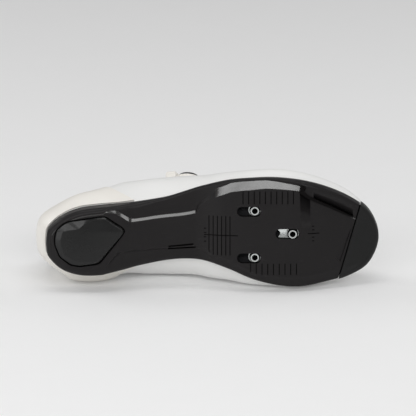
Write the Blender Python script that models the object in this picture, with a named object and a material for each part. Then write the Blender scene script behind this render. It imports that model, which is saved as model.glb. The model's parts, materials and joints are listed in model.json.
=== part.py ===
"""Right-foot road cycling shoe, lying on its medial side with the sole towards -Y.

Everything is first modelled in the shoe's own frame, in metres: X runs from the
heel to the toe, Y points to the medial side (so lateral is negative) and Z is up
from the ground that the shoe would stand on. One empty then lays the whole shoe
down on its medial side, on three points of its own convex hull.
"""

import math
from collections import namedtuple

import bmesh
import bpy
import numpy as np
from mathutils import Matrix, Vector

MM = 0.001

# Driving sizes of the last and sole
SOLE_LENGTH = 285 * MM
BALL_WIDTH = 93 * MM
INSTEP_HEIGHT = 104 * MM
HEEL_THICKNESS = 17 * MM
ARCH_RISE = 9.5 * MM
TOE_SPRING = 22 * MM
GAP = 0.35 * MM

# Outsole details
EDGE_ROUND = 4.5 * MM
RELIEF_DEPTH = 2.8 * MM
CHAMFER_WIDTH = 2.4 * MM
BOLT_SPACING = 40.5 * MM
BOLT_REACH = 33 * MM
BOLT_TO_TOE = 105 * MM
BOLT_OFFSET = 7 * MM
SLOT_WIDTH = 8.4 * MM
SLOT_LENGTH = 22.4 * MM
SLOT_BACK = 16 * MM
FRONT_SLOT_BACK = 18 * MM
NUT_POCKET_DEPTH = 2.4 * MM
NUT_MARGIN = 5 * MM
SLIT_WIDTH = 1.8 * MM
SLIT_LENGTH = 25 * MM
SLIT_DEPTH = 3 * MM

# Cleat nuts
FLANGE_THICKNESS = 1.5 * MM
FLANGE_RADIUS = 5.6 * MM
BARREL_RADIUS = 3.9 * MM
THREAD_RADIUS = 2.2 * MM
BARREL_RECESS = 0.8 * MM
NUT_PLATE_LENGTH = 21 * MM
NUT_PLATE_BACK = 4.5 * MM
NUT_PLATE_WIDTH = 12 * MM

# Heel pad
PAD_LENGTH = 59.5 * MM
PAD_WIDTH = 42.5 * MM
PAD_START = 7.3 * MM
PAD_RECESS = 3.2 * MM
PAD_BEVEL_HEIGHT = 2.2 * MM

# Toe bumper
BUMPER_REACH = 16.4 * MM
BUMPER_SLANT = 16.4
BUMPER_SKIN = 2.6 * MM
BUMPER_PROUD = 0.9 * MM
BUMPER_GUARD = 7 * MM

# Upper
FEATHER_INSET = 0.7 * MM
WALL = 1.8 * MM
COLLAR_PAD = 3.4 * MM
RIDGE_BACK = 38 * MM
RIDGE_FRONT = 240 * MM
COUNTER_THICKNESS = 1.2 * MM
COUNTER_TOP = 0.64
COUNTER_LATERAL = 0.262
COUNTER_MEDIAL = 0.232
COUNTER_SLOPE = 1.35
TONGUE_THICKNESS = 3.6 * MM
TONGUE_HALF = 0.40
INSOLE_THICKNESS = 3.4 * MM
INSOLE_INSET = 5.0 * MM

# Closure
DIAL_STATION = 0.430
DIAL_HEIGHT_SHARE = 0.52
DIAL_RADIUS = 11.4 * MM
DIAL_KNOB_RADIUS = 10.4 * MM
DIAL_KNOB_HEIGHT = 5.8 * MM
DIAL_BASE_HEIGHT = 3.2 * MM
DIAL_BASE_BEVEL = 0.8 * MM
KNOB_BEVEL = 1.2 * MM
GRIP_DEPTH = 0.5 * MM
DIAL_GRIPS = 18
LACE_RADIUS = 0.75 * MM
LACE_LIFT = 2.2 * MM
STOP_STATION = 0.386
STOP_HEIGHT_SHARE = 0.37
STOP_SIZE = (9.0 * MM, 10 * MM, 6.4 * MM)
GUIDE_RADIUS = 5.5 * MM
GUIDE_HEIGHT = 3.4 * MM

# Plan outline: shares of the sole's length along, of the ball's width across
OutlineRow = namedtuple("OutlineRow", "station lateral medial")
OUTLINE = (
    OutlineRow(0.005, 0.102, 0.131),
    OutlineRow(0.041, 0.215, 0.246),
    OutlineRow(0.095, 0.290, 0.308),
    OutlineRow(0.160, 0.321, 0.312),
    OutlineRow(0.222, 0.339, 0.274),
    OutlineRow(0.295, 0.369, 0.225),
    OutlineRow(0.367, 0.410, 0.183),
    OutlineRow(0.420, 0.459, 0.170),
    OutlineRow(0.476, 0.512, 0.183),
    OutlineRow(0.548, 0.570, 0.251),
    OutlineRow(0.621, 0.595, 0.343),
    OutlineRow(0.693, 0.600, 0.401),
    OutlineRow(0.766, 0.574, 0.418),
    OutlineRow(0.838, 0.511, 0.384),
    OutlineRow(0.911, 0.404, 0.329),
    OutlineRow(0.965, 0.276, 0.239),
    OutlineRow(0.992, 0.130, 0.106),
)
HEEL_TIP_LATERAL = -0.015
TOE_TIP_LATERAL = 0.010

# Side profile: shares of ARCH_RISE, TOE_SPRING and HEEL_THICKNESS
ProfileRow = namedtuple("ProfileRow", "station arch spring thickness")
PROFILE = (
    ProfileRow(0.000, 0.45, 0.00, 0.86),
    ProfileRow(0.060, 0.21, 0.00, 1.00),
    ProfileRow(0.210, 0.21, 0.00, 0.97),
    ProfileRow(0.270, 0.70, 0.00, 0.65),
    ProfileRow(0.340, 1.00, 0.00, 0.45),
    ProfileRow(0.440, 0.95, 0.00, 0.38),
    ProfileRow(0.540, 0.30, 0.00, 0.46),
    ProfileRow(0.630, 0.00, 0.00, 0.48),
    ProfileRow(0.720, 0.00, 0.00, 0.47),
    ProfileRow(0.780, 0.00, 0.09, 0.46),
    ProfileRow(0.850, 0.00, 0.32, 0.43),
    ProfileRow(0.920, 0.00, 0.63, 0.40),
    ProfileRow(1.000, 0.00, 1.00, 0.38),
)

# Raised middle of the sole: its edges as shares of BALL_WIDTH from the axis,
# the flank widths in CHAMFER_WIDTHs, how far the outer zones lie back in
# RELIEF_DEPTHs (negative stands proud) and the lateral edge's share of EDGE_ROUND
ReliefRow = namedtuple(
    "ReliefRow",
    "station lateral medial lateral_flank medial_flank lateral_back medial_back lateral_edge",
)
RELIEF = (
    ReliefRow(0.170, 0.345, 0.205, 1.0, 1.0, 0.00, 0.00, 1.00),
    ReliefRow(0.190, 0.335, 0.160, 1.0, 1.0, 0.80, 0.80, 0.80),
    ReliefRow(0.222, 0.265, 0.118, 1.0, 1.0, 1.00, 1.00, 0.80),
    ReliefRow(0.250, 0.198, 0.108, 1.0, 1.0, 1.00, 1.00, 0.90),
    ReliefRow(0.262, 0.190, 0.105, 1.0, 1.0, 1.00, 1.00, 1.00),
    ReliefRow(0.448, 0.264, 0.043, 1.0, 1.0, 1.00, 1.00, 1.00),
    ReliefRow(0.456, 0.306, 0.040, 1.2, 1.4, 1.00, 1.00, 1.00),
    ReliefRow(0.500, 0.412, 0.101, 1.5, 2.2, 1.00, 1.00, 0.80),
    ReliefRow(0.535, 0.449, 0.185, 2.0, 2.4, 0.95, 0.95, 0.60),
    ReliefRow(0.570, 0.485, 0.236, 2.8, 1.8, 0.90, 0.80, 0.40),
    ReliefRow(0.605, 0.500, 0.272, 3.3, 1.4, 0.90, 0.70, 0.35),
    ReliefRow(0.640, 0.512, 0.300, 3.1, 1.4, 0.90, 0.70, 0.35),
    ReliefRow(0.690, 0.508, 0.324, 2.7, 1.8, 0.90, 0.75, 0.40),
    ReliefRow(0.724, 0.500, 0.328, 2.3, 2.2, 0.90, 0.80, 0.50),
    ReliefRow(0.755, 0.490, 0.328, 1.9, 2.3, 0.90, 0.80, 0.60),
    ReliefRow(0.770, 0.480, 0.328, 1.7, 2.3, 0.90, 0.80, 0.70),
    ReliefRow(0.779, 0.466, 0.328, 0.5, 2.3, -0.10, 0.80, 1.00),
    ReliefRow(0.795, 0.420, 0.328, 0.5, 2.3, -0.25, 0.75, 1.00),
    ReliefRow(0.860, 0.317, 0.324, 0.5, 2.2, -0.30, 0.60, 1.00),
    ReliefRow(0.923, 0.218, 0.300, 0.5, 1.6, -0.20, 0.40, 1.00),
    ReliefRow(0.960, 0.150, 0.200, 0.5, 1.0, 0.00, 0.00, 1.00),
)

# Sections of sole and upper, as shares of the sole's length
SECTIONS = (
    0.0, 0.004, 0.015, 0.034, 0.060, 0.090, 0.125, 0.170, 0.190, 0.222, 0.250, 0.262,
    0.295, 0.330, 0.365, 0.400, 0.425, 0.448, 0.456, 0.478, 0.500, 0.535, 0.570, 0.605,
    0.640, 0.665, 0.690, 0.707, 0.724, 0.740, 0.755, 0.770, 0.779, 0.795, 0.820, 0.845,
    0.870, 0.897, 0.923, 0.945, 0.965, 0.981, 0.992, 0.998, 1.0,
)

# Ridge of the last: shares of SOLE_LENGTH, INSTEP_HEIGHT and BALL_WIDTH
RidgeRow = namedtuple("RidgeRow", "station height lateral")
RIDGE = (
    RidgeRow(0.13, 1.46, 0.00),
    RidgeRow(0.21, 1.40, 0.01),
    RidgeRow(0.28, 1.26, 0.03),
    RidgeRow(0.35, 1.10, 0.05),
    RidgeRow(0.40, 1.00, 0.06),
    RidgeRow(0.46, 0.90, 0.07),
    RidgeRow(0.53, 0.785, 0.08),
    RidgeRow(0.61, 0.665, 0.09),
    RidgeRow(0.70, 0.565, 0.09),
    RidgeRow(0.77, 0.508, 0.08),
    RidgeRow(0.85, 0.475, 0.05),
)

# Swell of the upper past the feather line in shares of BALL_WIDTH, the height of
# its fullest point in shares of INSTEP_HEIGHT, and the topline as a share of the
# way to the ridge
SwellRow = namedtuple(
    "SwellRow", "station lateral medial high_lateral high_medial top_lateral top_medial"
)
SWELL = (
    SwellRow(0.000, 0.100, 0.100, 0.22, 0.22, 0.310, 0.310),
    SwellRow(0.045, 0.068, 0.080, 0.18, 0.17, 0.305, 0.305),
    SwellRow(0.090, 0.085, 0.108, 0.15, 0.12, 0.292, 0.295),
    SwellRow(0.160, 0.106, 0.108, 0.18, 0.13, 0.255, 0.270),
    SwellRow(0.240, 0.153, 0.163, 0.33, 0.38, 0.270, 0.300),
    SwellRow(0.310, 0.160, 0.222, 0.31, 0.36, 0.345, 0.370),
    SwellRow(0.370, 0.153, 0.240, 0.30, 0.30, 0.500, 0.500),
    SwellRow(0.420, 0.125, 0.245, 0.29, 0.28, 0.660, 0.620),
    SwellRow(0.500, 0.074, 0.220, 0.24, 0.21, 0.720, 0.660),
    SwellRow(0.570, 0.066, 0.150, 0.18, 0.14, 0.740, 0.690),
    SwellRow(0.640, 0.072, 0.078, 0.13, 0.07, 0.780, 0.740),
    SwellRow(0.690, 0.078, 0.044, 0.12, 0.06, 0.880, 0.860),
    SwellRow(0.712, 0.080, 0.038, 0.12, 0.06, 1.000, 1.000),
    SwellRow(0.800, 0.074, 0.036, 0.12, 0.06, 1.000, 1.000),
    SwellRow(0.900, 0.066, 0.045, 0.11, 0.07, 1.000, 1.000),
    SwellRow(1.000, 0.010, 0.010, 0.09, 0.09, 1.000, 1.000),
)
UPPER_ROWS = 9
ROW_CROWDING = 1.2

# Heel pad: corners as shares of its length and width, and how far the wearing
# face's corner draws in towards the pad's middle
PadRow = namedtuple("PadRow", "along lateral bevel")
PAD_CORNERS = (
    PadRow(0.000, 0.047, 0.16),
    PadRow(0.044, 0.282, 0.17),
    PadRow(0.145, 0.414, 0.28),
    PadRow(0.289, 0.464, 0.30),
    PadRow(0.508, 0.496, 0.18),
    PadRow(0.710, 0.515, 0.03),
    PadRow(0.768, 0.485, 0.03),
    PadRow(0.985, 0.238, 0.03),
    PadRow(1.000, 0.174, 0.03),
    PadRow(0.970, 0.118, 0.03),
    PadRow(0.608, -0.412, 0.05),
    PadRow(0.536, -0.454, 0.09),
    PadRow(0.361, -0.485, 0.17),
    PadRow(0.217, -0.454, 0.20),
    PadRow(0.101, -0.329, 0.20),
    PadRow(0.029, -0.153, 0.18),
)

# Lace route over the last: station, place across (-1 lateral, 1 medial)
LaceRow = namedtuple("LaceRow", "station across lift")
LACE_ROUTE = (
    LaceRow(0.412, -0.33, 1.0),
    LaceRow(0.408, -0.18, 1.3),
    LaceRow(0.412, 0.02, 1.4),
    LaceRow(0.430, 0.24, 1.3),
    LaceRow(0.450, 0.36, 1.0),
    LaceRow(0.468, 0.36, 1.0),
    LaceRow(0.490, 0.22, 1.3),
    LaceRow(0.515, 0.00, 1.4),
    LaceRow(0.538, -0.20, 1.3),
    LaceRow(0.552, -0.30, 1.0),
    LaceRow(0.572, -0.30, 1.0),
    LaceRow(0.588, -0.16, 1.3),
    LaceRow(0.600, 0.00, 1.4),
    LaceRow(0.618, 0.17, 1.3),
    LaceRow(0.632, 0.27, 1.0),
)

BLACK = (0.018, 0.018, 0.019)
RUBBER = (0.015, 0.016, 0.016)
WHITE = (0.83, 0.83, 0.81)
WARM_WHITE = (0.76, 0.74, 0.70)
STEEL = (0.62, 0.64, 0.64)


def curve_through(stations, values, at):
    """Value at a station of a smooth curve through the rows that never overshoots them."""
    stations = np.asarray(stations, float)
    values = np.asarray(values, float)
    steps = np.diff(stations)
    slopes = np.diff(values) / steps
    tangents = np.zeros(len(values))
    tangents[0], tangents[-1] = slopes[0], slopes[-1]
    for i in range(1, len(values) - 1):
        if slopes[i - 1] * slopes[i] > 0:
            tangents[i] = 2 * slopes[i - 1] * slopes[i] / (slopes[i - 1] + slopes[i])
    at = min(max(at, stations[0]), stations[-1])
    i = min(max(int(np.searchsorted(stations, at)) - 1, 0), len(steps) - 1)
    t = (at - stations[i]) / steps[i]
    return (
        (2 * t**3 - 3 * t**2 + 1) * values[i]
        + (t**3 - 2 * t**2 + t) * steps[i] * tangents[i]
        + (3 * t**2 - 2 * t**3) * values[i + 1]
        + (t**3 - t**2) * steps[i] * tangents[i + 1]
    )


def column(table, name, at):
    """One named column of a table, read at a station."""
    return curve_through([row.station for row in table], [getattr(row, name) for row in table], at)


def closed_spline(points, per_span):
    """Centripetal Catmull-Rom loop through plan points."""
    points = [np.array(p, float) for p in points]
    count = len(points)
    found = []
    for i in range(count):
        p0, p1, p2, p3 = (points[(i + d) % count] for d in (-1, 0, 1, 2))
        knots = [0.0]
        for a, b in ((p0, p1), (p1, p2), (p2, p3)):
            knots.append(knots[-1] + math.sqrt(np.linalg.norm(b - a)))
        k0, k1, k2, k3 = knots
        for step in range(per_span):
            t = k1 + (k2 - k1) * step / per_span
            a1 = (k1 - t) / (k1 - k0) * p0 + (t - k0) / (k1 - k0) * p1
            a2 = (k2 - t) / (k2 - k1) * p1 + (t - k1) / (k2 - k1) * p2
            a3 = (k3 - t) / (k3 - k2) * p2 + (t - k2) / (k3 - k2) * p3
            b1 = (k2 - t) / (k2 - k0) * a1 + (t - k0) / (k2 - k0) * a2
            b2 = (k3 - t) / (k3 - k1) * a2 + (t - k1) / (k3 - k1) * a3
            found.append((k2 - t) / (k2 - k1) * b1 + (t - k1) / (k2 - k1) * b2)
    return found


def outline_sides():
    """Dense plan outline of each side, from heel tip to toe tip: x, y and outward normal."""
    heel = (0.0, -HEEL_TIP_LATERAL * BALL_WIDTH)
    toe = (SOLE_LENGTH, -TOE_TIP_LATERAL * BALL_WIDTH)
    lateral = [(r.station * SOLE_LENGTH, -r.lateral * BALL_WIDTH) for r in OUTLINE]
    medial = [(r.station * SOLE_LENGTH, r.medial * BALL_WIDTH) for r in OUTLINE]
    per_span = 24
    loop = np.array(closed_spline([heel, *lateral, toe, *reversed(medial)], per_span))
    tangent = np.roll(loop, -1, axis=0) - np.roll(loop, 1, axis=0)
    tangent /= np.linalg.norm(tangent, axis=1)[:, None]
    normal = np.stack([tangent[:, 1], -tangent[:, 0]], axis=1)
    if np.dot(normal[0], (-1.0, 0.0)) < 0:
        normal = -normal
    turn = per_span * (len(OUTLINE) + 1)
    rows = np.hstack([loop, normal])
    lateral_rows = rows[: turn + 1]
    medial_rows = np.vstack([rows[:1], rows[turn:][::-1]])
    return {-1: lateral_rows, 1: medial_rows}


SIDES = outline_sides()


def outline_point(side, station):
    """Plan point and outward normal of one side's outline, where side is -1 lateral or 1 medial."""
    rows = SIDES[side]
    x = rows[:, 0]
    order = np.maximum.accumulate(x) + np.arange(len(x)) * 1e-12
    at = station * SOLE_LENGTH
    point = [np.interp(at, order, rows[:, i]) for i in range(4)]
    normal = np.array(point[2:])
    return np.array(point[:2]), normal / np.linalg.norm(normal)


def ground_height(station):
    """Height of the sole's raised middle over the ground."""
    arch = column(PROFILE, "arch", station) * ARCH_RISE
    return arch + column(PROFILE, "spring", station) * TOE_SPRING


def feather_height(station):
    """Height of the feather line, where sole and upper meet."""
    return ground_height(station) + column(PROFILE, "thickness", station) * HEEL_THICKNESS


def relief(name, station):
    """One column of the relief table, with no relief behind its first row or past its last."""
    return column(RELIEF, name, station)


def new_mesh_object(name, mesh_points, faces, material, parent):
    """Object from points and faces, welded and with its faces turned outwards."""
    shape = bmesh.new()
    corners = [shape.verts.new(p) for p in mesh_points]
    for face in faces:
        around = []
        for i in face:
            if corners[i] not in around:
                around.append(corners[i])
        if len(around) > 2:
            shape.faces.new(around)
    bmesh.ops.remove_doubles(shape, verts=shape.verts, dist=1e-6)
    bmesh.ops.dissolve_degenerate(shape, edges=shape.edges, dist=1e-7)
    bmesh.ops.recalc_face_normals(shape, faces=shape.faces)
    if shape.calc_volume(signed=True) < 0:
        bmesh.ops.reverse_faces(shape, faces=shape.faces)
    return object_from(name, shape, material, parent)


def object_from(name, shape, material, parent):
    """Object that owns a finished bmesh."""
    mesh = bpy.data.meshes.new(name)
    shape.to_mesh(mesh)
    shape.free()
    mesh.shade_smooth()
    mesh.set_sharp_from_angle(angle=math.radians(35))
    made = bpy.data.objects.new(name, mesh)
    bpy.context.scene.collection.objects.link(made)
    if material is not None:
        mesh.materials.append(material)
    made.parent = parent
    return made


def loft(rings):
    """Points and faces of a closed skin through rings of equal length, capped at both ends."""
    points = [p for ring in rings for p in ring]
    size = len(rings[0])
    faces = []
    for r in range(len(rings) - 1):
        for i in range(size):
            j = (i + 1) % size
            faces.append((r * size + i, r * size + j, (r + 1) * size + j, (r + 1) * size + i))
    faces.append(tuple(range(size))[::-1])
    faces.append(tuple((len(rings) - 1) * size + i for i in range(size)))
    return points, faces


def cutter(name, points, faces, parent):
    """Hidden helper that a Boolean uses."""
    made = new_mesh_object(name, points, faces, None, parent)
    made.hide_render = True
    made.display_type = "WIRE"
    return made


def boolean(target, other, operation="DIFFERENCE"):
    """Adds a Boolean to an object."""
    step = target.modifiers.new(other.name, "BOOLEAN")
    step.object = other
    step.operation = operation
    step.solver = "EXACT"


def sole_ring(station, grow=0.0, sink=0.0, skin_top=None):
    """Closed section of the sole: round-edged walls, raised middle and flanks.

    grow pushes the outline outwards and sink lowers the underside, for the toe
    bumper that wraps the same form; skin_top replaces the feather height.
    """
    ground = ground_height(station) - sink
    top = feather_height(station) if skin_top is None else skin_top
    walls = {}
    for side, name in ((-1, "lateral"), (1, "medial")):
        plan, normal = outline_point(side, station)
        floor = ground + relief(name + "_back", station) * RELIEF_DEPTH
        rounding = EDGE_ROUND * (relief("lateral_edge", station) if side < 0 else 1.0)
        edge = min(rounding, 0.6 * (feather_height(station) - floor))
        wall = []
        for inset, height in (
            (0.0, top),
            (0.0, floor + edge),
            (edge * (1 - math.cos(math.pi / 4)), floor + edge * (1 - math.sin(math.pi / 4))),
            (edge, floor),
        ):
            spot = plan + normal * (grow - inset)
            wall.append((spot[0], spot[1], height))
        walls[side] = wall
    a, b = (np.array(walls[side][-1]) for side in (-1, 1))
    width = max(b[1] - a[1], 1e-6)
    share = {}
    for side, name in ((-1, "lateral"), (1, "medial")):
        edge_at = side * relief(name, station) * BALL_WIDTH
        flank = relief(name + "_flank", station) * CHAMFER_WIDTH / width
        crest = (edge_at - a[1]) / width
        limit = 0.02
        if side < 0:
            crest = min(max(crest, flank + limit), 0.46)
            share[side] = (max(crest - flank, limit), crest)
        else:
            crest = max(min(crest, 1 - flank - limit), 0.54)
            share[side] = (min(crest + flank, 1 - limit), crest)

    def across(part, height):
        spot = a + (b - a) * part
        return (spot[0], spot[1], height)

    middle = [
        across(share[-1][0], a[2]),
        across(share[-1][1], ground),
        across(0.5, ground),
        across(share[1][1], ground),
        across(share[1][0], b[2]),
    ]
    top_middle = [
        tuple((np.array(walls[1][0]) * (1 - f) + np.array(walls[-1][0]) * f)) for f in (0.35, 0.65)
    ]
    return [*walls[-1], *middle, *reversed(walls[1]), *top_middle]


def slot_points(centre, half_length, radius, low, high, steps=8):
    """Upright rounded slot between two heights, its length along X."""
    ring = []
    for turn in (-0.5, 0.5):
        for step in range(steps + 1):
            angle = math.pi * (turn + step / steps)
            shift = half_length if turn < 0 else -half_length
            ring.append((centre[0] + shift + radius * math.cos(angle), centre[1] + radius * math.sin(angle)))
    return loft([[(x, y, low) for x, y in ring], [(x, y, high) for x, y in ring]])


def bolt_spots():
    """Plan places of the three cleat bolts: name, x and y."""
    middle = -BOLT_OFFSET
    half = BOLT_SPACING / 2
    rear = SOLE_LENGTH - BOLT_TO_TOE
    return (
        ("rear_lateral", rear, middle - half),
        ("rear_medial", rear, middle + half),
        ("front", rear + BOLT_REACH, middle),
    )


def slot_frame(name, x):
    """Centre and straight half length of the slot that one bolt slides in."""
    back = FRONT_SLOT_BACK if name == "front" else SLOT_BACK
    straight = SLOT_LENGTH / 2 - SLOT_WIDTH / 2
    return x - back + SLOT_LENGTH / 2, straight


def nut_floor(x):
    """Height of the pocket floor that a cleat nut's flange lies on."""
    return feather_height(x / SOLE_LENGTH) - NUT_POCKET_DEPTH


def pad_outline(shrink):
    """Middle of the heel pad and its plan outline, drawn in by shrink."""
    middle = np.array((PAD_START + PAD_LENGTH / 2, 0.0))
    plan = [np.array((PAD_START + r.along * PAD_LENGTH, -r.lateral * PAD_WIDTH)) for r in PAD_CORNERS]
    drawn = []
    for p in plan:
        inward = middle - p
        drawn.append(p + inward / np.linalg.norm(inward) * shrink)
    return middle, drawn


def slant_block(name, shift, parent):
    """Block that covers the toe ahead of the bumper's slanted rear edge."""
    angle = math.radians(BUMPER_SLANT)
    along = np.array((math.cos(angle), math.sin(angle)))
    across = np.array((-math.sin(angle), math.cos(angle)))
    start = np.array((SOLE_LENGTH - BUMPER_REACH, -0.28 * BALL_WIDTH)) + along * shift
    reach = SOLE_LENGTH
    plan = [
        start - across * reach,
        start + across * reach,
        start + across * reach + along * reach,
        start - across * reach + along * reach,
    ]
    low, high = -reach / 2, reach / 2
    points, faces = loft([[(*p, low) for p in plan], [(*p, high) for p in plan]])
    return cutter(name, points, faces, parent)


def toe_form(name, grow, sink, rise, parent):
    """Sole form ahead of the waist, grown outwards and carried up past the feather line."""
    rings = []
    for station in SECTIONS:
        if station >= 0.8:
            top = feather_height(station) + rise
            rings.append(sole_ring(station, grow, sink, top))
    points, faces = loft(rings)
    return cutter(name, points, faces, parent)


def build_outsole(material, parent):
    """Moulded plate: plan outline, toe spring, arch, raised middle and its cut-outs."""
    points, faces = loft([sole_ring(s) for s in SECTIONS])
    outsole = new_mesh_object("outsole", points, faces, material, parent)
    below = -SOLE_LENGTH / 4
    above = SOLE_LENGTH / 4
    for name, x, y in bolt_spots():
        centre, straight = slot_frame(name, x)
        points, faces = slot_points((centre, y), straight, SLOT_WIDTH / 2, below, above)
        boolean(outsole, cutter("slot_" + name, points, faces, parent))
        pocket_half = SLOT_WIDTH / 2 + NUT_MARGIN
        points, faces = slot_points((centre, y), straight, pocket_half, nut_floor(centre), above)
        boolean(outsole, cutter("nut_pocket_" + name, points, faces, parent))
    ceiling = ground_height(PAD_START / SOLE_LENGTH + 0.1) + PAD_RECESS
    _, plan = pad_outline(0.0)
    points, faces = loft([[(*p, below) for p in plan], [(*p, ceiling) for p in plan]])
    boolean(outsole, cutter("heel_pocket", points, faces, parent))
    slit = slit_block(below)
    boolean(outsole, cutter("vent_slit", *slit, parent))
    clearance = toe_form("toe_clearance", BUMPER_SKIN, BUMPER_SKIN, HEEL_THICKNESS, parent)
    core = toe_form("toe_core", -BUMPER_SKIN - GAP, -BUMPER_SKIN - GAP, HEEL_THICKNESS, parent)
    boolean(clearance, core)
    boolean(clearance, slant_block("toe_front", -GAP, parent), "INTERSECT")
    boolean(outsole, clearance)
    return outsole


def slit_block(low):
    """Vent slit along the medial foot of the waist's raised middle."""
    start, end = 0.368, 0.452
    rings = []
    for height_share in (0, 1):
        ring = []
        for station, side in ((start, -1), (end, -1), (end, 1), (start, 1)):
            x = station * SOLE_LENGTH
            line = (column(RELIEF, "medial", station) * BALL_WIDTH) + CHAMFER_WIDTH / 2
            top = ground_height(station) + RELIEF_DEPTH + SLIT_DEPTH / 3
            ring.append((x, line + side * SLIT_WIDTH / 2, top if height_share else low))
        rings.append(ring)
    return loft(rings)


def build_heel_pad(material, parent):
    """Rubber heel pad set in its pocket, with bevelled flanks round a flat wearing face."""
    top = ground_height(PAD_START / SOLE_LENGTH + 0.1) + PAD_RECESS - GAP
    middle, drawn = pad_outline(GAP)
    roof = [(*p, top) for p in drawn]
    waist = [(*p, PAD_BEVEL_HEIGHT) for p in drawn]
    face = []
    for p, row in zip(drawn, PAD_CORNERS):
        face.append((*(p + (middle - p) * row.bevel), 0.0))
    points, faces = loft([face, waist, roof])
    return new_mesh_object("heel_pad", points, faces, material, parent)


def build_toe_bumper(material, parent, upper_form):
    """Rubber bumper wrapped round the toe, from its slanted rear edge up over the feather line."""
    rings = []
    for station in SECTIONS:
        if station >= 0.8:
            guard = BUMPER_GUARD * max(0.0, (station - 0.86) / 0.14) ** 0.7
            rings.append(sole_ring(station, 0.0, BUMPER_PROUD, feather_height(station) + guard))
    points, faces = loft(rings)
    bumper = new_mesh_object("toe_bumper", points, faces, material, parent)
    core = toe_form("bumper_core", -BUMPER_SKIN, -BUMPER_SKIN, HEEL_THICKNESS, parent)
    boolean(bumper, core)
    boolean(bumper, slant_block("bumper_front", 0.0, parent), "INTERSECT")
    boolean(bumper, upper_form)
    return bumper


def build_cleat_nut(name, x, y, material, parent):
    """Threaded cleat nut: a flange or plate in the pocket and a hollow barrel down the slot."""
    seat = nut_floor(slot_frame(name, x)[0]) + GAP
    station = x / SOLE_LENGTH
    tip = ground_height(station) + BARREL_RECESS
    top = seat + FLANGE_THICKNESS
    if name == "front":
        straight = (NUT_PLATE_LENGTH - NUT_PLATE_WIDTH) / 2
        points, faces = slot_points((x - NUT_PLATE_BACK, y), straight, NUT_PLATE_WIDTH / 2, seat, top)
    else:
        points, faces = turned((x, y), [(FLANGE_RADIUS, seat), (FLANGE_RADIUS, top)], 24)
    nut = new_mesh_object("cleat_nut_" + name, points, faces, material, parent)
    overlap = FLANGE_THICKNESS / 2
    points, faces = turned((x, y), [(BARREL_RADIUS, tip), (BARREL_RADIUS, seat + overlap)], 24)
    boolean(nut, cutter("barrel_" + name, points, faces, parent), "UNION")
    points, faces = turned((x, y), [(THREAD_RADIUS, tip - overlap), (THREAD_RADIUS, top + overlap)], 16)
    boolean(nut, cutter("thread_" + name, points, faces, parent))
    return nut


def turned(centre, profile, sides):
    """Points and faces of a body turned about an upright axis, from (radius, height) pairs."""
    rings = []
    for radius, height in profile:
        ring = []
        for i in range(sides):
            angle = 2 * math.pi * i / sides
            ring.append((centre[0] + radius * math.cos(angle), centre[1] + radius * math.sin(angle), height))
        rings.append(ring)
    return loft(rings)


def ridge_point(station):
    """Point of the last's ridge that the column at this station leads to."""
    x = RIDGE_BACK + (RIDGE_FRONT - RIDGE_BACK) * station
    share = x / SOLE_LENGTH
    height = column(RIDGE, "height", share) * INSTEP_HEIGHT
    return np.array((x, -column(RIDGE, "lateral", share) * BALL_WIDTH, height))


def side_point(side, station, climb):
    """Point of the upper's outer surface on one side, climb running from 0 at the sole to 1 at the ridge."""
    plan, normal = outline_point(side, station)
    foot = np.array((*(plan - normal * FEATHER_INSET), feather_height(station) + GAP))
    ridge = ridge_point(station)
    turn = math.pi / 2 * climb
    point = foot + (ridge - foot) * np.array((1 - math.cos(turn),) * 2 + (math.sin(turn),))
    name = "lateral" if side < 0 else "medial"
    swell = column(SWELL, name, station) * BALL_WIDTH
    fullest = column(SWELL, "high_" + name, station) * INSTEP_HEIGHT
    rise = (point[2] - foot[2]) / fullest
    bulge = math.sin(math.pi / 2 * rise) if rise < 1 else rise * math.exp(1 - rise)
    point[:2] += normal * swell * bulge * math.cos(turn)
    return point


def side_of(across):
    """Side that a place across the last lies on: -1 lateral, 1 medial."""
    return -1 if across < 0 else 1


def last_point(station, across):
    """Point of the last's surface.

    across runs from -1 at the lateral feather line over 0 at the ridge to 1 at
    the medial feather line.
    """
    return side_point(side_of(across), station, 1 - abs(across))


def side_normal(side, station, climb):
    """Unit normal of the last's surface, taken within one side."""
    step = 1e-3
    low, high = max(station - step, 0.0), min(station + step, 1.0)
    down, up = max(climb - step, 0.0), min(climb + step, 1.0)
    along = side_point(side, high, climb) - side_point(side, low, climb)
    over = side_point(side, station, up) - side_point(side, station, down)
    normal = np.cross(over, along) * side
    return normal / np.linalg.norm(normal)


def last_normal(station, across):
    """Outward unit normal, shared by both sides along the ridge, behind the heel and at the toe."""
    climb = 1 - abs(across)
    normal = side_normal(side_of(across), station, climb)
    if station < 1e-6 or station > 1 - 1e-6 or climb > 1 - 1e-6:
        normal = normal + side_normal(-side_of(across), station, climb)
    return normal / np.linalg.norm(normal)


def offset_point(station, across, lift):
    """Point at a distance outside the last's surface."""
    station = min(max(station, 0.0), 1.0)
    return last_point(station, across) + last_normal(station, across) * lift


def face_outwards(shape):
    """Turns the faces of an open skin away from the skin's middle and updates its normals."""
    bmesh.ops.recalc_face_normals(shape, faces=shape.faces)
    centre = sum((v.co for v in shape.verts), Vector()) / len(shape.verts)
    outward = sum(f.normal.dot(f.calc_center_median() - centre) * f.calc_area() for f in shape.faces)
    if outward < 0:
        bmesh.ops.reverse_faces(shape, faces=shape.faces)
    shape.normal_update()


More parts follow.
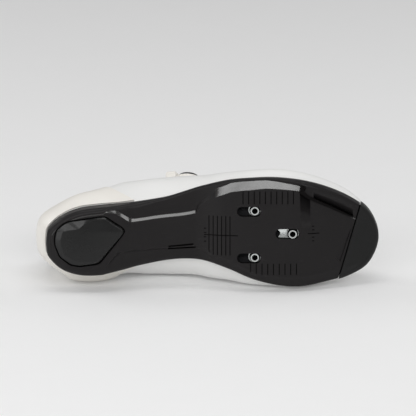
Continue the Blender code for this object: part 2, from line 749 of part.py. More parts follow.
def thicken(shape, depth_of, name, material, parent):
    """Closes an open skin into a wall by a second skin inside it and rims between the two."""
    face_outwards(shape)
    outer = list(shape.verts)
    faces = list(shape.faces)
    rims = [e for e in shape.edges if e.is_boundary]
    inner = {v: shape.verts.new(v.co - v.normal * depth_of(v)) for v in outer}
    for face in faces:
        shape.faces.new([inner[v] for v in reversed(face.verts)])
    for edge in rims:
        first, second = edge.verts
        if edge.link_loops[0].vert != first:
            first, second = second, first
        shape.faces.new([second, first, inner[first], inner[second]])
    bmesh.ops.recalc_face_normals(shape, faces=shape.faces)
    return object_from(name, shape, material, parent)


def grid_skin(grid):
    """Open bmesh skin over a grid of points, welded where rows meet."""
    shape = bmesh.new()
    corners = [[shape.verts.new(p) for p in row] for row in grid]
    for i in range(len(grid) - 1):
        for j in range(len(grid[0]) - 1):
            shape.faces.new((corners[i][j], corners[i][j + 1], corners[i + 1][j + 1], corners[i + 1][j]))
    bmesh.ops.remove_doubles(shape, verts=shape.verts, dist=1e-6)
    bmesh.ops.dissolve_degenerate(shape, edges=shape.edges, dist=1e-7)
    return shape


def wall_climbs(side, station):
    """Heights of the upper's rows at one section, as shares of the way from the sole to the ridge."""
    name = "top_lateral" if side < 0 else "top_medial"
    top = min(column(SWELL, name, station), 1.0)
    return [top * (j / UPPER_ROWS) ** ROW_CROWDING for j in range(UPPER_ROWS + 1)]


def wall_skin(stations, lift):
    """Open outer skin of the upper over some sections, pushed out by lift along its own normals.

    Each vertex carries how much thicker the padded collar makes the wall there.
    """
    shape = bmesh.new()
    collar = shape.verts.layers.float.new("collar")
    for side in (-1, 1):
        corners = []
        for station in stations:
            padded = min(1.0, max(0.0, 1 - (station - 0.24) / 0.10))
            made = [
                shape.verts.new(side_point(side, station, climb))
                for climb in wall_climbs(side, station)
            ]
            for j, v in enumerate(made):
                v[collar] = COLLAR_PAD * padded * max(0.0, (j / UPPER_ROWS - 0.35) / 0.65)
            corners.append(made)
        for i in range(len(stations) - 1):
            for j in range(UPPER_ROWS):
                around = (corners[i][j], corners[i][j + 1], corners[i + 1][j + 1], corners[i + 1][j])
                shape.faces.new(around[::side])
    bmesh.ops.remove_doubles(shape, verts=shape.verts, dist=1e-6)
    bmesh.ops.dissolve_degenerate(shape, edges=shape.edges, dist=1e-7)
    bmesh.ops.triangulate(shape, faces=shape.faces, quad_method="FIXED")
    face_outwards(shape)
    for v, normal in [(v, v.normal.copy()) for v in shape.verts]:
        v.co += normal * lift
    return shape


def build_upper(material, parent):
    """One hollow wall, open at collar and throat and closed underneath by the sole."""
    shape = wall_skin(SECTIONS, 0.0)
    collar = shape.verts.layers.float["collar"]
    return thicken(shape, lambda v: WALL + v[collar], "upper", material, parent)


def build_last_form(name, lift, parent):
    """Closed form of the whole last, pushed out by lift, that trims pieces seated on the upper."""
    shares = [-1 + 2 * j / 36 for j in range(37)]
    rings = []
    for station in SECTIONS:
        ring = [offset_point(station, share, lift) for share in shares]
        ring.append(ring[-1] * 0.5 + ring[0] * 0.5 - np.array((0, 0, 2 * lift)))
        rings.append(ring)
    points, faces = loft(rings)
    return cutter(name, points, faces[:-2], parent)


def build_heel_counter(material, parent):
    """Moulded heel cup over the upper, level behind the heel and slanting down in front."""
    stations = [s for s in SECTIONS if s <= COUNTER_LATERAL + 0.10]
    shape = wall_skin(stations, GAP + COUNTER_THICKNESS)
    foot = HEEL_THICKNESS + ARCH_RISE / 5
    half = BALL_WIDTH * 0.4
    lateral = Vector((COUNTER_LATERAL * SOLE_LENGTH, -half, foot))
    medial = Vector((COUNTER_MEDIAL * SOLE_LENGTH, half, foot))
    slant = Vector((-1.0, 0.0, COUNTER_SLOPE))
    front = slant.cross(medial - lateral).normalized()
    if front.x < 0:
        front = -front
    top = Vector((0, 0, COUNTER_TOP * INSTEP_HEIGHT))
    base = Vector((0, 0, foot + 3 * GAP))
    for place, normal in (
        (lateral, front),
        (top, Vector((0, 0, 1))),
        (base, Vector((-0.02, 0, -1)).normalized()),
    ):
        geometry = [*shape.verts, *shape.edges, *shape.faces]
        bmesh.ops.bisect_plane(
            shape, geom=geometry, dist=1e-6, plane_co=place, plane_no=normal, clear_outer=True
        )
    bmesh.ops.remove_doubles(shape, verts=shape.verts, dist=0.1 * MM)
    return thicken(shape, lambda v: COUNTER_THICKNESS, "heel_counter", material, parent)


def build_tongue(material, parent):
    """Padded tongue under the throat, from beneath the vamp to above the collar."""
    lift = -WALL - 3 * GAP
    stations = [0.30 + 0.45 * i / 16 for i in range(17)]
    grid = []
    for station in stations:
        half = TONGUE_HALF * (0.72 + 0.28 * min(1.0, (station - 0.30) / 0.12))
        if station > 0.66:
            half *= 1 - 0.35 * (station - 0.66) / 0.09
        shares = [half * (2 * j / 8 - 1) for j in range(9)]
        grid.append([offset_point(station, share, lift) for share in shares])
    shape = grid_skin(grid)
    return thicken(shape, lambda v: TONGUE_THICKNESS, "tongue", material, parent)


def build_insole(material, parent):
    """Foam footbed lying on the sole inside the upper."""
    rings = []
    for station in SECTIONS:
        ends = []
        for side in (-1, 1):
            plan, normal = outline_point(side, station)
            ends.append(plan - normal * INSOLE_INSET)
        row = [ends[0] + (ends[1] - ends[0]) * j / 4 for j in range(5)]
        floor = [(*p, feather_height(p[0] / SOLE_LENGTH) + GAP) for p in row]
        face = [(x, y, z + INSOLE_THICKNESS) for x, y, z in reversed(floor)]
        rings.append([*floor, *face])
    points, faces = loft(rings)
    return new_mesh_object("insole", points, faces, material, parent)


def seat_frame(station, across, lift):
    """Matrix whose Z axis stands on the last's surface there and whose X axis runs to the toe."""
    normal = last_normal(station, across)
    along = last_point(min(station + 0.01, 1), across) - last_point(station, across)
    along -= normal * np.dot(along, normal)
    along /= np.linalg.norm(along)
    over = np.cross(normal, along)
    place = last_point(station, across) + normal * lift
    matrix = Matrix((
        (along[0], over[0], normal[0], place[0]),
        (along[1], over[1], normal[1], place[1]),
        (along[2], over[2], normal[2], place[2]),
        (0, 0, 0, 1),
    ))
    return matrix


def placed(points, matrix):
    """Points carried by a matrix."""
    return [tuple(matrix @ Vector(p)) for p in points]


def lace_points():
    """Points of the lace's centreline, read from a smooth curve through its route."""
    route = []
    for row in LACE_ROUTE:
        lift = GUIDE_HEIGHT * 0.5 + LACE_LIFT * (row.lift - 1.0)
        route.append(offset_point(row.station, row.across, lift + LACE_RADIUS))
    found = []
    per_span = 5
    for i in range(len(route) - 1):
        p0 = route[max(i - 1, 0)]
        p1, p2 = route[i], route[i + 1]
        p3 = route[min(i + 2, len(route) - 1)]
        for step in range(per_span):
            t = step / per_span
            found.append(
                0.5 * (2 * p1 + (p2 - p0) * t + (2 * p0 - 5 * p1 + 4 * p2 - p3) * t**2
                       + (3 * p1 - p0 - 3 * p2 + p3) * t**3)
            )
    found.append(route[-1])
    return found


def tube(path, radius, sides, overrun):
    """Points and faces of a tube along a path, run past both of its ends by overrun."""
    path = [np.array(p, float) for p in path]
    for end, before in ((0, 1), (-1, -2)):
        step = path[end] - path[before]
        path[end] = path[end] + step / np.linalg.norm(step) * overrun
    rings = []
    up = np.array((0.0, 0.0, 1.0))
    for i, p in enumerate(path):
        ahead = path[min(i + 1, len(path) - 1)] - path[max(i - 1, 0)]
        ahead /= np.linalg.norm(ahead)
        first = np.cross(ahead, up)
        first /= np.linalg.norm(first)
        second = np.cross(ahead, first)
        ring = []
        for k in range(sides):
            angle = 2 * math.pi * k / sides
            ring.append(p + (first * math.cos(angle) + second * math.sin(angle)) * radius)
        rings.append(ring)
    return loft(rings)


def build_lace(material, parent):
    """Dial lace over the tongue, from guide to guide, as one held cord."""
    curve = bpy.data.curves.new("lace", "CURVE")
    curve.dimensions = "3D"
    spline = curve.splines.new("POLY")
    route = lace_points()
    spline.points.add(len(route) - 1)
    for spot, p in zip(spline.points, route):
        spot.co = (*p, 1.0)
    curve.bevel_depth = LACE_RADIUS
    curve.bevel_resolution = 2
    curve.use_fill_caps = True
    curve.materials.append(material)
    made = bpy.data.objects.new("lace", curve)
    bpy.context.scene.collection.objects.link(made)
    made.parent = parent
    return made


def build_guide(name, station, across, material, parent, last_form, lace_form):
    """Low lace guide on the throat's edge, bored for the lace."""
    matrix = seat_frame(station, across, 0.0)
    profile = (
        (GUIDE_RADIUS, -GUIDE_HEIGHT),
        (GUIDE_RADIUS, GUIDE_HEIGHT * 0.45),
        (GUIDE_RADIUS * 0.82, GUIDE_HEIGHT * 0.85),
        (GUIDE_RADIUS * 0.55, GUIDE_HEIGHT),
    )
    points, faces = turned((0, 0), profile, 16)
    guide = new_mesh_object(name, placed(points, matrix), faces, material, parent)
    boolean(guide, last_form)
    boolean(guide, lace_form)
    return guide


def build_dial(material, knob_material, parent, last_form, lace_form):
    """Lace dial: a low base shaped to the upper and a ribbed knob on it."""
    across = -(1 - DIAL_HEIGHT_SHARE)
    matrix = seat_frame(DIAL_STATION, across, 0.0)
    profile = (
        (DIAL_RADIUS, -DIAL_RADIUS * 0.6),
        (DIAL_RADIUS, DIAL_BASE_HEIGHT * 0.5),
        (DIAL_RADIUS - DIAL_BASE_BEVEL, DIAL_BASE_HEIGHT),
    )
    points, faces = turned((0, 0), profile, 28)
    base = new_mesh_object("dial_base", placed(points, matrix), faces, material, parent)
    boolean(base, last_form)
    boolean(base, lace_form)
    rings = []
    foot = DIAL_BASE_HEIGHT + GAP
    for radius, height, ribbed in (
        (DIAL_KNOB_RADIUS, foot, True),
        (DIAL_KNOB_RADIUS, foot + DIAL_KNOB_HEIGHT * 0.72, True),
        (DIAL_KNOB_RADIUS - KNOB_BEVEL, foot + DIAL_KNOB_HEIGHT, False),
    ):
        ring = []
        for i in range(2 * DIAL_GRIPS):
            angle = math.pi * i / DIAL_GRIPS
            reach = radius - (GRIP_DEPTH if ribbed and i % 2 else 0.0)
            ring.append((reach * math.cos(angle), reach * math.sin(angle), height))
        rings.append(ring)
    points, faces = loft(rings)
    knob = new_mesh_object("dial_knob", placed(points, matrix), faces, knob_material, parent)
    return base, knob


def build_strap_stop(material, parent, last_form):
    """Small pale block on the quarter just behind the dial, with its top edges drawn in."""
    matrix = seat_frame(STOP_STATION, -(1 - STOP_HEIGHT_SHARE), 0.0)
    length, width, height = STOP_SIZE
    rings = []
    for draw, level in ((0.0, -height), (0.0, height * 0.7), (height * 0.25, height)):
        x, y = length / 2 - draw, width / 2 - draw
        rings.append([(-x, -y, level), (x, -y, level), (x, y, level), (-x, y, level)])
    points, faces = loft(rings)
    stop = new_mesh_object("strap_stop", placed(points, matrix), faces, material, parent)
    boolean(stop, last_form)
    return stop


def side_lying(parent, objects):
    """Turns the shoe so that it rests on the hull face under its weight on the medial side."""
    bpy.context.view_layer.update()
    graph = bpy.context.evaluated_depsgraph_get()
    cloud = []
    weight = 0.0
    centre = Vector()
    for obj in objects:
        evaluated = obj.evaluated_get(graph)
        mesh = evaluated.to_mesh()
        shape = bmesh.new()
        shape.from_mesh(mesh)
        bmesh.ops.triangulate(shape, faces=shape.faces)
        for face in shape.faces:
            a, b, c = (v.co for v in face.verts)
            volume = a.dot(b.cross(c)) / 6
            weight += volume
            centre += (a + b + c) / 4 * volume
        cloud += [v.co.copy() for v in shape.verts]
        shape.free()
        evaluated.to_mesh_clear()
    centre /= weight
    hull = bmesh.new()
    for co in cloud:
        hull.verts.new(co)
    made = bmesh.ops.convex_hull(hull, input=hull.verts)
    down = None
    for face in [g for g in made["geom"] if isinstance(g, bmesh.types.BMFace)]:
        normal = face.normal.normalized()
        if normal.dot(centre - face.verts[0].co) > 0:
            normal = -normal
        if normal.y < 0.8:
            continue
        foot = centre + normal * normal.dot(face.verts[0].co - centre)
        corners = [v.co for v in face.verts]
        turns = [
            (corners[(i + 1) % 3] - corners[i]).cross(foot - corners[i]).dot(face.normal)
            for i in range(3)
        ]
        under = min(turns) >= 0 or max(turns) <= 0
        if under and (down is None or normal.y > down.y):
            down = normal.copy()
    hull.free()
    up = -down
    ahead = (Vector((1, 0, 0)) - up * up.x).normalized()
    side = up.cross(ahead)
    turn = Matrix((ahead, side, up)).to_4x4()
    laid = [turn @ co for co in cloud]
    low = Vector([min(p[i] for p in laid) for i in range(3)])
    high = Vector([max(p[i] for p in laid) for i in range(3)])
    shift = Vector((-(low.x + high.x) / 2, -(low.y + high.y) / 2, -low.z))
    parent.matrix_world = Matrix.Translation(shift) @ turn


def principled(name, color, roughness, metallic=0.0):
    """Material with one Principled shader."""
    material = bpy.data.materials.new(name)
    material.use_nodes = True
    shader = material.node_tree.nodes["Principled BSDF"]
    shader.inputs["Base Color"].default_value = (*color, 1.0)
    shader.inputs["Roughness"].default_value = roughness
    shader.inputs["Metallic"].default_value = metallic
    return material


def main():
    """Builds every piece in the shoe's frame and lays the shoe down."""
    for old in list(bpy.data.objects):
        bpy.data.objects.remove(old)
    plate = principled("moulded_plate", BLACK, 0.42)
    rubber = principled("rubber", RUBBER, 0.6)
    synthetic = principled("white_synthetic", WHITE, 0.5)
    cup = principled("heel_cup_plastic", WARM_WHITE, 0.4)
    foam = principled("foam", (0.05, 0.05, 0.055), 0.9)
    steel = principled("zinc_steel", STEEL, 0.35, 1.0)
    cord = principled("lace_cord", (0.5, 0.5, 0.5), 0.6)
    dial_black = principled("dial_plastic", BLACK, 0.35)
    pose = bpy.data.objects.new("side_lying_pose", None)
    bpy.context.scene.collection.objects.link(pose)

    last_form = build_last_form("last_form", GAP, pose)
    lace_form = cutter("lace_form", *tube(lace_points(), LACE_RADIUS + GAP, 10, GAP), pose)
    pieces = [
        build_outsole(plate, pose),
        build_heel_pad(rubber, pose),
        build_toe_bumper(rubber, pose, last_form),
        build_upper(synthetic, pose),
        build_heel_counter(cup, pose),
        build_tongue(synthetic, pose),
        build_insole(foam, pose),
        build_lace(cord, pose),
    ]
    for name, x, y in bolt_spots():
        pieces.append(build_cleat_nut(name, x, y, steel, pose))
    for name, station, across in (
        ("lace_guide_medial_upper", 0.459, 0.365),
        ("lace_guide_lateral", 0.562, -0.305),
        ("lace_guide_medial_lower", 0.634, 0.275),
    ):
        pieces.append(build_guide(name, station, across, synthetic, pose, last_form, lace_form))
    pieces += build_dial(cup, dial_black, pose, last_form, lace_form)
    pieces.append(build_strap_stop(cup, pose, last_form))
    side_lying(pose, pieces)


main()
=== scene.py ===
"""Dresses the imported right-foot road cycling shoe, which lies on its medial side.

Shapes are made in the shoe's own frame, in metres: X runs from the heel to the toe,
+Y points to the medial side and Z is up from the ground that the shoe would stand
on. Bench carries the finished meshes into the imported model's frame.
"""

import json
import logging
import math
from collections.abc import Callable, Iterable, Sequence
from dataclasses import dataclass
from enum import Enum, IntEnum
from functools import cached_property

import bmesh
import bpy
import numpy as np
from mathutils import Matrix, Vector
from mathutils.bvhtree import BVHTree


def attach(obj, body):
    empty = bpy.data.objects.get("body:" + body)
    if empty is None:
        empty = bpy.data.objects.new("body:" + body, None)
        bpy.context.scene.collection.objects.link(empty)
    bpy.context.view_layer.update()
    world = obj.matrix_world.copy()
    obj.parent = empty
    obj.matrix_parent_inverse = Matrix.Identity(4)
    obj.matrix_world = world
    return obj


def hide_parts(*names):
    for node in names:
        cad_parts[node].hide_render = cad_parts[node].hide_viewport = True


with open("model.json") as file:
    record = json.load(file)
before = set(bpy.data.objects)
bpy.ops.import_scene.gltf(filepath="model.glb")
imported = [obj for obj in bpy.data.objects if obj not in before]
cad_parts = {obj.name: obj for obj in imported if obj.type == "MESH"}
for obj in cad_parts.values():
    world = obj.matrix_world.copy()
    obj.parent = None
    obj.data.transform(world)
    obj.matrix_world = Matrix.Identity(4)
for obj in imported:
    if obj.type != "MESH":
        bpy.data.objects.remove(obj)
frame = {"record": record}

LOG = logging.getLogger("cycling_shoe")
MM = 0.001
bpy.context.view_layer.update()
Color = tuple[float, float, float]


class Side(IntEnum):
    """The two sides of the shoe, by the sign of Y."""

    LATERAL = -1
    MEDIAL = 1

    @property
    def word(self) -> str:
        """Name of the side as the tables spell it."""
        return self.name.lower()


class Rows:
    """Table given along the shoe, read through smooth curves that never overshoot a row."""

    def __init__(self, names: str, rows: Sequence[tuple[float, ...]]) -> None:
        """Keeps the rows.

        Args:
            names: column names after the station, split by spaces.
            rows: a station and its values for each row.
        """
        table = np.array(rows, float)
        self.stations = table[:, 0]
        self.columns = {name: table[:, i + 1] for i, name in enumerate(names.split())}
        self.slopes = {name: self.tangents(values) for name, values in self.columns.items()}

    def tangents(self, values: np.ndarray) -> np.ndarray:
        """Slope at each row: the harmonic mean of its neighbours, or nought at a turn."""
        chords = np.diff(values) / np.diff(self.stations)
        slopes = np.zeros(len(values))
        slopes[0], slopes[-1] = chords[0], chords[-1]
        for i, (before, after) in enumerate(zip(chords, chords[1:]), start=1):
            if before * after > 0:
                slopes[i] = 2 * before * after / (before + after)
        return slopes

    def at(self, name: str, station: float | np.ndarray) -> float | np.ndarray:
        """One column at one or many stations.

        Args:
            name: the column.
            station: share of the sole's length, or an array of shares.

        Returns:
            The column's value there, in the same shape as station.
        """
        s = np.clip(station, self.stations[0], self.stations[-1])
        i = np.clip(np.searchsorted(self.stations, s) - 1, 0, len(self.stations) - 2)
        step = self.stations[i + 1] - self.stations[i]
        t = (s - self.stations[i]) / step
        values, slopes = self.columns[name], self.slopes[name]
        return (
            (2 * t**3 - 3 * t**2 + 1) * values[i]
            + (t**3 - 2 * t**2 + t) * step * slopes[i]
            + (3 * t**2 - 2 * t**3) * values[i + 1]
            + (t**3 - t**2) * step * slopes[i + 1]
        )


# Plan outline of the sole, in shares of its length and of the ball's width
OUTLINE = (
    (0.001, 0.042, 0.072), (0.005, 0.102, 0.131), (0.041, 0.215, 0.246), (0.095, 0.290, 0.308),
    (0.160, 0.321, 0.312), (0.222, 0.339, 0.274), (0.295, 0.369, 0.225),
    (0.367, 0.410, 0.183), (0.420, 0.459, 0.170), (0.476, 0.512, 0.183),
    (0.548, 0.570, 0.251), (0.621, 0.595, 0.343), (0.693, 0.600, 0.401),
    (0.766, 0.574, 0.418), (0.838, 0.511, 0.384), (0.911, 0.404, 0.329),
    (0.965, 0.276, 0.239), (0.992, 0.130, 0.106),
)
HEEL_TIP_LATERAL = -0.015
TOE_TIP_LATERAL = 0.010

# Side profile, in shares of the arch's rise, the toe spring and the heel's thickness
PROFILE = Rows("arch spring thickness", (
    (0.000, 0.45, 0.00, 0.86), (0.060, 0.21, 0.00, 1.00), (0.210, 0.21, 0.00, 0.97),
    (0.270, 0.70, 0.00, 0.65), (0.340, 1.00, 0.00, 0.45), (0.440, 0.95, 0.00, 0.38),
    (0.540, 0.30, 0.00, 0.46), (0.630, 0.00, 0.00, 0.48), (0.720, 0.00, 0.00, 0.47),
    (0.780, 0.00, 0.09, 0.46), (0.850, 0.00, 0.32, 0.43), (0.920, 0.00, 0.63, 0.40),
    (1.000, 0.00, 1.00, 0.38),
))

# Raised middle of the sole: where its crests run, how wide its flanks are, how far
# back the outer zones lie and how round the lateral edge is
RELIEF = Rows("lateral medial lateral_flank medial_flank lateral_back medial_back edge", (
    (0.170, 0.345, 0.245, 0.5, 1.0, 0.00, 0.00, 1.00),
    (0.179, 0.328, 0.226, 0.5, 1.0, 0.15, 0.35, 0.70),
    (0.190, 0.306, 0.190, 0.7, 1.0, 0.50, 0.65, 0.60),
    (0.205, 0.277, 0.140, 1.0, 1.0, 0.85, 0.90, 0.70),
    (0.222, 0.244, 0.090, 1.2, 1.0, 1.00, 1.00, 0.80),
    (0.238, 0.210, 0.084, 1.3, 1.0, 1.10, 1.00, 0.85),
    (0.248, 0.190, 0.081, 1.3, 1.0, 1.15, 1.00, 0.90),
    (0.256, 0.184, 0.079, 1.2, 1.0, 1.10, 1.00, 0.95),
    (0.266, 0.186, 0.077, 1.0, 1.0, 1.00, 1.00, 1.00),
    (0.343, 0.215, 0.065, 1.0, 1.0, 1.00, 1.00, 1.00),
    (0.448, 0.261, 0.043, 1.0, 1.0, 1.00, 1.00, 1.00),
    (0.456, 0.306, 0.040, 1.2, 1.4, 1.00, 1.00, 1.00),
    (0.500, 0.412, 0.101, 1.5, 2.2, 1.00, 1.00, 0.80),
    (0.515, 0.428, 0.137, 3.0, 2.3, 0.92, 0.98, 0.70),
    (0.535, 0.449, 0.185, 3.1, 2.4, 0.90, 0.95, 0.55),
    (0.570, 0.485, 0.236, 3.3, 1.8, 0.90, 0.80, 0.40),
    (0.605, 0.500, 0.272, 3.3, 1.4, 0.90, 0.70, 0.35),
    (0.640, 0.512, 0.300, 3.1, 1.4, 0.90, 0.70, 0.35),
    (0.690, 0.508, 0.324, 2.7, 1.8, 0.90, 0.75, 0.40),
    (0.724, 0.500, 0.328, 2.3, 2.2, 0.76, 0.80, 0.50),
    (0.755, 0.490, 0.328, 1.9, 2.3, 0.65, 0.80, 0.60),
    (0.770, 0.480, 0.328, 1.7, 2.3, 0.60, 0.80, 0.70),
    (0.779, 0.466, 0.328, 0.8, 2.3, 0.05, 0.80, 1.00),
    (0.795, 0.420, 0.328, 0.8, 2.3, -0.08, 0.75, 1.00),
    (0.860, 0.317, 0.324, 0.5, 2.2, -0.20, 0.60, 1.00),
    (0.923, 0.218, 0.300, 0.5, 1.6, -0.20, 0.40, 1.00),
    (0.960, 0.150, 0.200, 0.5, 1.0, 0.00, 0.00, 1.00),
))

# Ridge of the last, in shares of the instep's height and the ball's width
RIDGE = Rows("height lateral", (
    (0.13, 1.46, 0.00), (0.21, 1.40, 0.01), (0.28, 1.26, 0.03), (0.35, 1.10, 0.05),
    (0.40, 1.00, 0.06), (0.46, 0.90, 0.07), (0.53, 0.785, 0.08), (0.61, 0.665, 0.09),
    (0.70, 0.565, 0.09), (0.77, 0.508, 0.08), (0.85, 0.475, 0.05),
))

# Swell of the upper past the feather line, the height of its fullest point and the
# topline as a share of the way to the ridge
SWELL = Rows("lateral medial high_lateral high_medial top_lateral top_medial", (
    (0.000, 0.100, 0.100, 0.22, 0.22, 0.310, 0.310),
    (0.045, 0.068, 0.080, 0.18, 0.17, 0.305, 0.305),
    (0.090, 0.085, 0.108, 0.15, 0.12, 0.292, 0.295),
    (0.160, 0.106, 0.108, 0.18, 0.13, 0.255, 0.270),
    (0.240, 0.153, 0.163, 0.33, 0.38, 0.270, 0.300),
    (0.310, 0.160, 0.222, 0.31, 0.36, 0.345, 0.370),
    (0.370, 0.153, 0.240, 0.30, 0.30, 0.500, 0.500),
    (0.420, 0.125, 0.245, 0.29, 0.28, 0.660, 0.620),
    (0.500, 0.074, 0.220, 0.24, 0.21, 0.720, 0.660),
    (0.570, 0.066, 0.150, 0.18, 0.14, 0.740, 0.690),
    (0.640, 0.072, 0.078, 0.13, 0.07, 0.780, 0.740),
    (0.690, 0.078, 0.044, 0.12, 0.06, 0.880, 0.860),
    (0.712, 0.080, 0.038, 0.12, 0.06, 1.000, 1.000),
    (0.800, 0.074, 0.036, 0.12, 0.06, 1.000, 1.000),
    (0.900, 0.066, 0.045, 0.11, 0.07, 1.000, 1.000),
    (1.000, 0.010, 0.010, 0.09, 0.09, 1.000, 1.000),
))

# Heel pad: its corners along and across, those of its wearing face, and the face's height
PAD_CORNERS = (
    (0.000, 0.054, 0.075, 0.054, 0.35), (0.022, 0.229, 0.110, 0.229, 0.25),
    (0.119, 0.366, 0.150, 0.248, 0.20), (0.207, 0.426, 0.335, 0.281, 0.10),
    (0.471, 0.473, 0.419, 0.379, 0.50), (0.648, 0.514, 0.639, 0.500, 1.00),
    (0.727, 0.514, 0.722, 0.491, 1.00), (0.956, 0.304, 0.944, 0.291, 0.35),
    (1.000, 0.229, 0.985, 0.226, 0.15), (0.974, 0.154, 0.960, 0.160, 0.20),
    (0.648, -0.409, 0.634, -0.384, 0.65), (0.586, -0.440, 0.577, -0.403, 0.65),
    (0.366, -0.484, 0.374, -0.396, 0.65), (0.233, -0.459, 0.260, -0.365, 0.60),
    (0.075, -0.296, 0.128, -0.234, 0.50), (0.009, -0.071, 0.085, -0.059, 0.40),
)
PAD_APEX = (0.361, 0.229)

# Lace over the last: station, place across from -1 lateral to 1 medial, and lift
LACE_ROUTE = (
    (0.412, -0.33, 1.0), (0.408, -0.18, 1.3), (0.412, 0.02, 1.4), (0.430, 0.24, 1.3),
    (0.450, 0.36, 1.0), (0.468, 0.36, 1.0), (0.490, 0.22, 1.3), (0.515, 0.00, 1.4),
    (0.538, -0.20, 1.3), (0.552, -0.30, 1.0), (0.572, -0.30, 1.0), (0.588, -0.16, 1.3),
    (0.600, 0.00, 1.4), (0.618, 0.17, 1.3), (0.632, 0.27, 1.0),
)


def unit(vectors: np.ndarray) -> np.ndarray:
    """Vectors along the last axis, each made one long."""
    return vectors / np.maximum(np.linalg.norm(vectors, axis=-1, keepdims=True), 1e-12)


def spread(low: float, high: float, count: int) -> np.ndarray:
    """Shares from low to high that crowd towards both ends."""
    return low + (high - low) * 0.5 * (1 - np.cos(np.pi * np.linspace(0, 1, count)))


def spline_loop(points: Sequence[tuple[float, float]], per_span: int) -> np.ndarray:
    """Centripetal Catmull-Rom loop through plan points.

    Args:
        points: the points to pass, in order.
        per_span: points made for each stretch between two of them.

    Returns:
        The loop's plan points.
    """
    fixed = np.array(points, float)
    found = []
    for i in range(len(fixed)):
        p0, p1, p2, p3 = (fixed[(i + d) % len(fixed)] for d in (-1, 0, 1, 2))
        chords = [math.sqrt(np.linalg.norm(b - a)) for a, b in ((p0, p1), (p1, p2), (p2, p3))]
        k0, k1, k2, k3 = np.cumsum([0.0, *chords])
        for t in np.linspace(k1, k2, per_span, endpoint=False):
            a1 = (k1 - t) / (k1 - k0) * p0 + (t - k0) / (k1 - k0) * p1
            a2 = (k2 - t) / (k2 - k1) * p1 + (t - k1) / (k2 - k1) * p2
            a3 = (k3 - t) / (k3 - k2) * p2 + (t - k2) / (k3 - k2) * p3
            b1 = (k2 - t) / (k2 - k0) * a1 + (t - k0) / (k2 - k0) * a2
            b2 = (k3 - t) / (k3 - k1) * a2 + (t - k1) / (k3 - k1) * a3
            found.append((k2 - t) / (k2 - k1) * b1 + (t - k1) / (k2 - k1) * b2)
    return np.array(found)


def smooth_run(points: np.ndarray, per_span: int) -> np.ndarray:
    """Smooth open curve through 3-D points, with per_span points for each stretch."""
    found = []
    for i in range(len(points) - 1):
        p0, p1, p2 = points[max(i - 1, 0)], points[i], points[i + 1]
        p3 = points[min(i + 2, len(points) - 1)]
        for t in np.linspace(0, 1, per_span, endpoint=False):
            found.append(0.5 * (
                2 * p1 + (p2 - p0) * t + (2 * p0 - 5 * p1 + 4 * p2 - p3) * t**2
                + (3 * p1 - p0 - 3 * p2 + p3) * t**3
            ))
    found.append(points[-1])
    return np.array(found)


def soften(corners: Sequence[np.ndarray], radius: float, closed: bool = False) -> list[np.ndarray]:
    """Rounds each inner corner of a run of points, or every corner of a loop.

    Args:
        corners: the points.
        radius: how far back along its two sides a corner is cut.
        closed: whether the run is a loop.

    Returns:
        The run with five points in the place of each rounded corner.
    """
    run = [np.asarray(c, float) for c in corners]
    if closed:
        run = [run[-1], *run, run[0]]
    found = [] if closed else [run[0]]
    for before, corner, after in zip(run, run[1:], run[2:]):
        ends = []
        for other in (before, after):
            reach = max(np.linalg.norm(other - corner), 1e-9)
            ends.append(corner + (other - corner) * min(radius / reach, 0.45))
        for t in (0, 0.25, 0.5, 0.75, 1):
            found.append((1 - t) ** 2 * ends[0] + 2 * t * (1 - t) * corner + t**2 * ends[1])
    if not closed:
        found.append(run[-1])
    return found


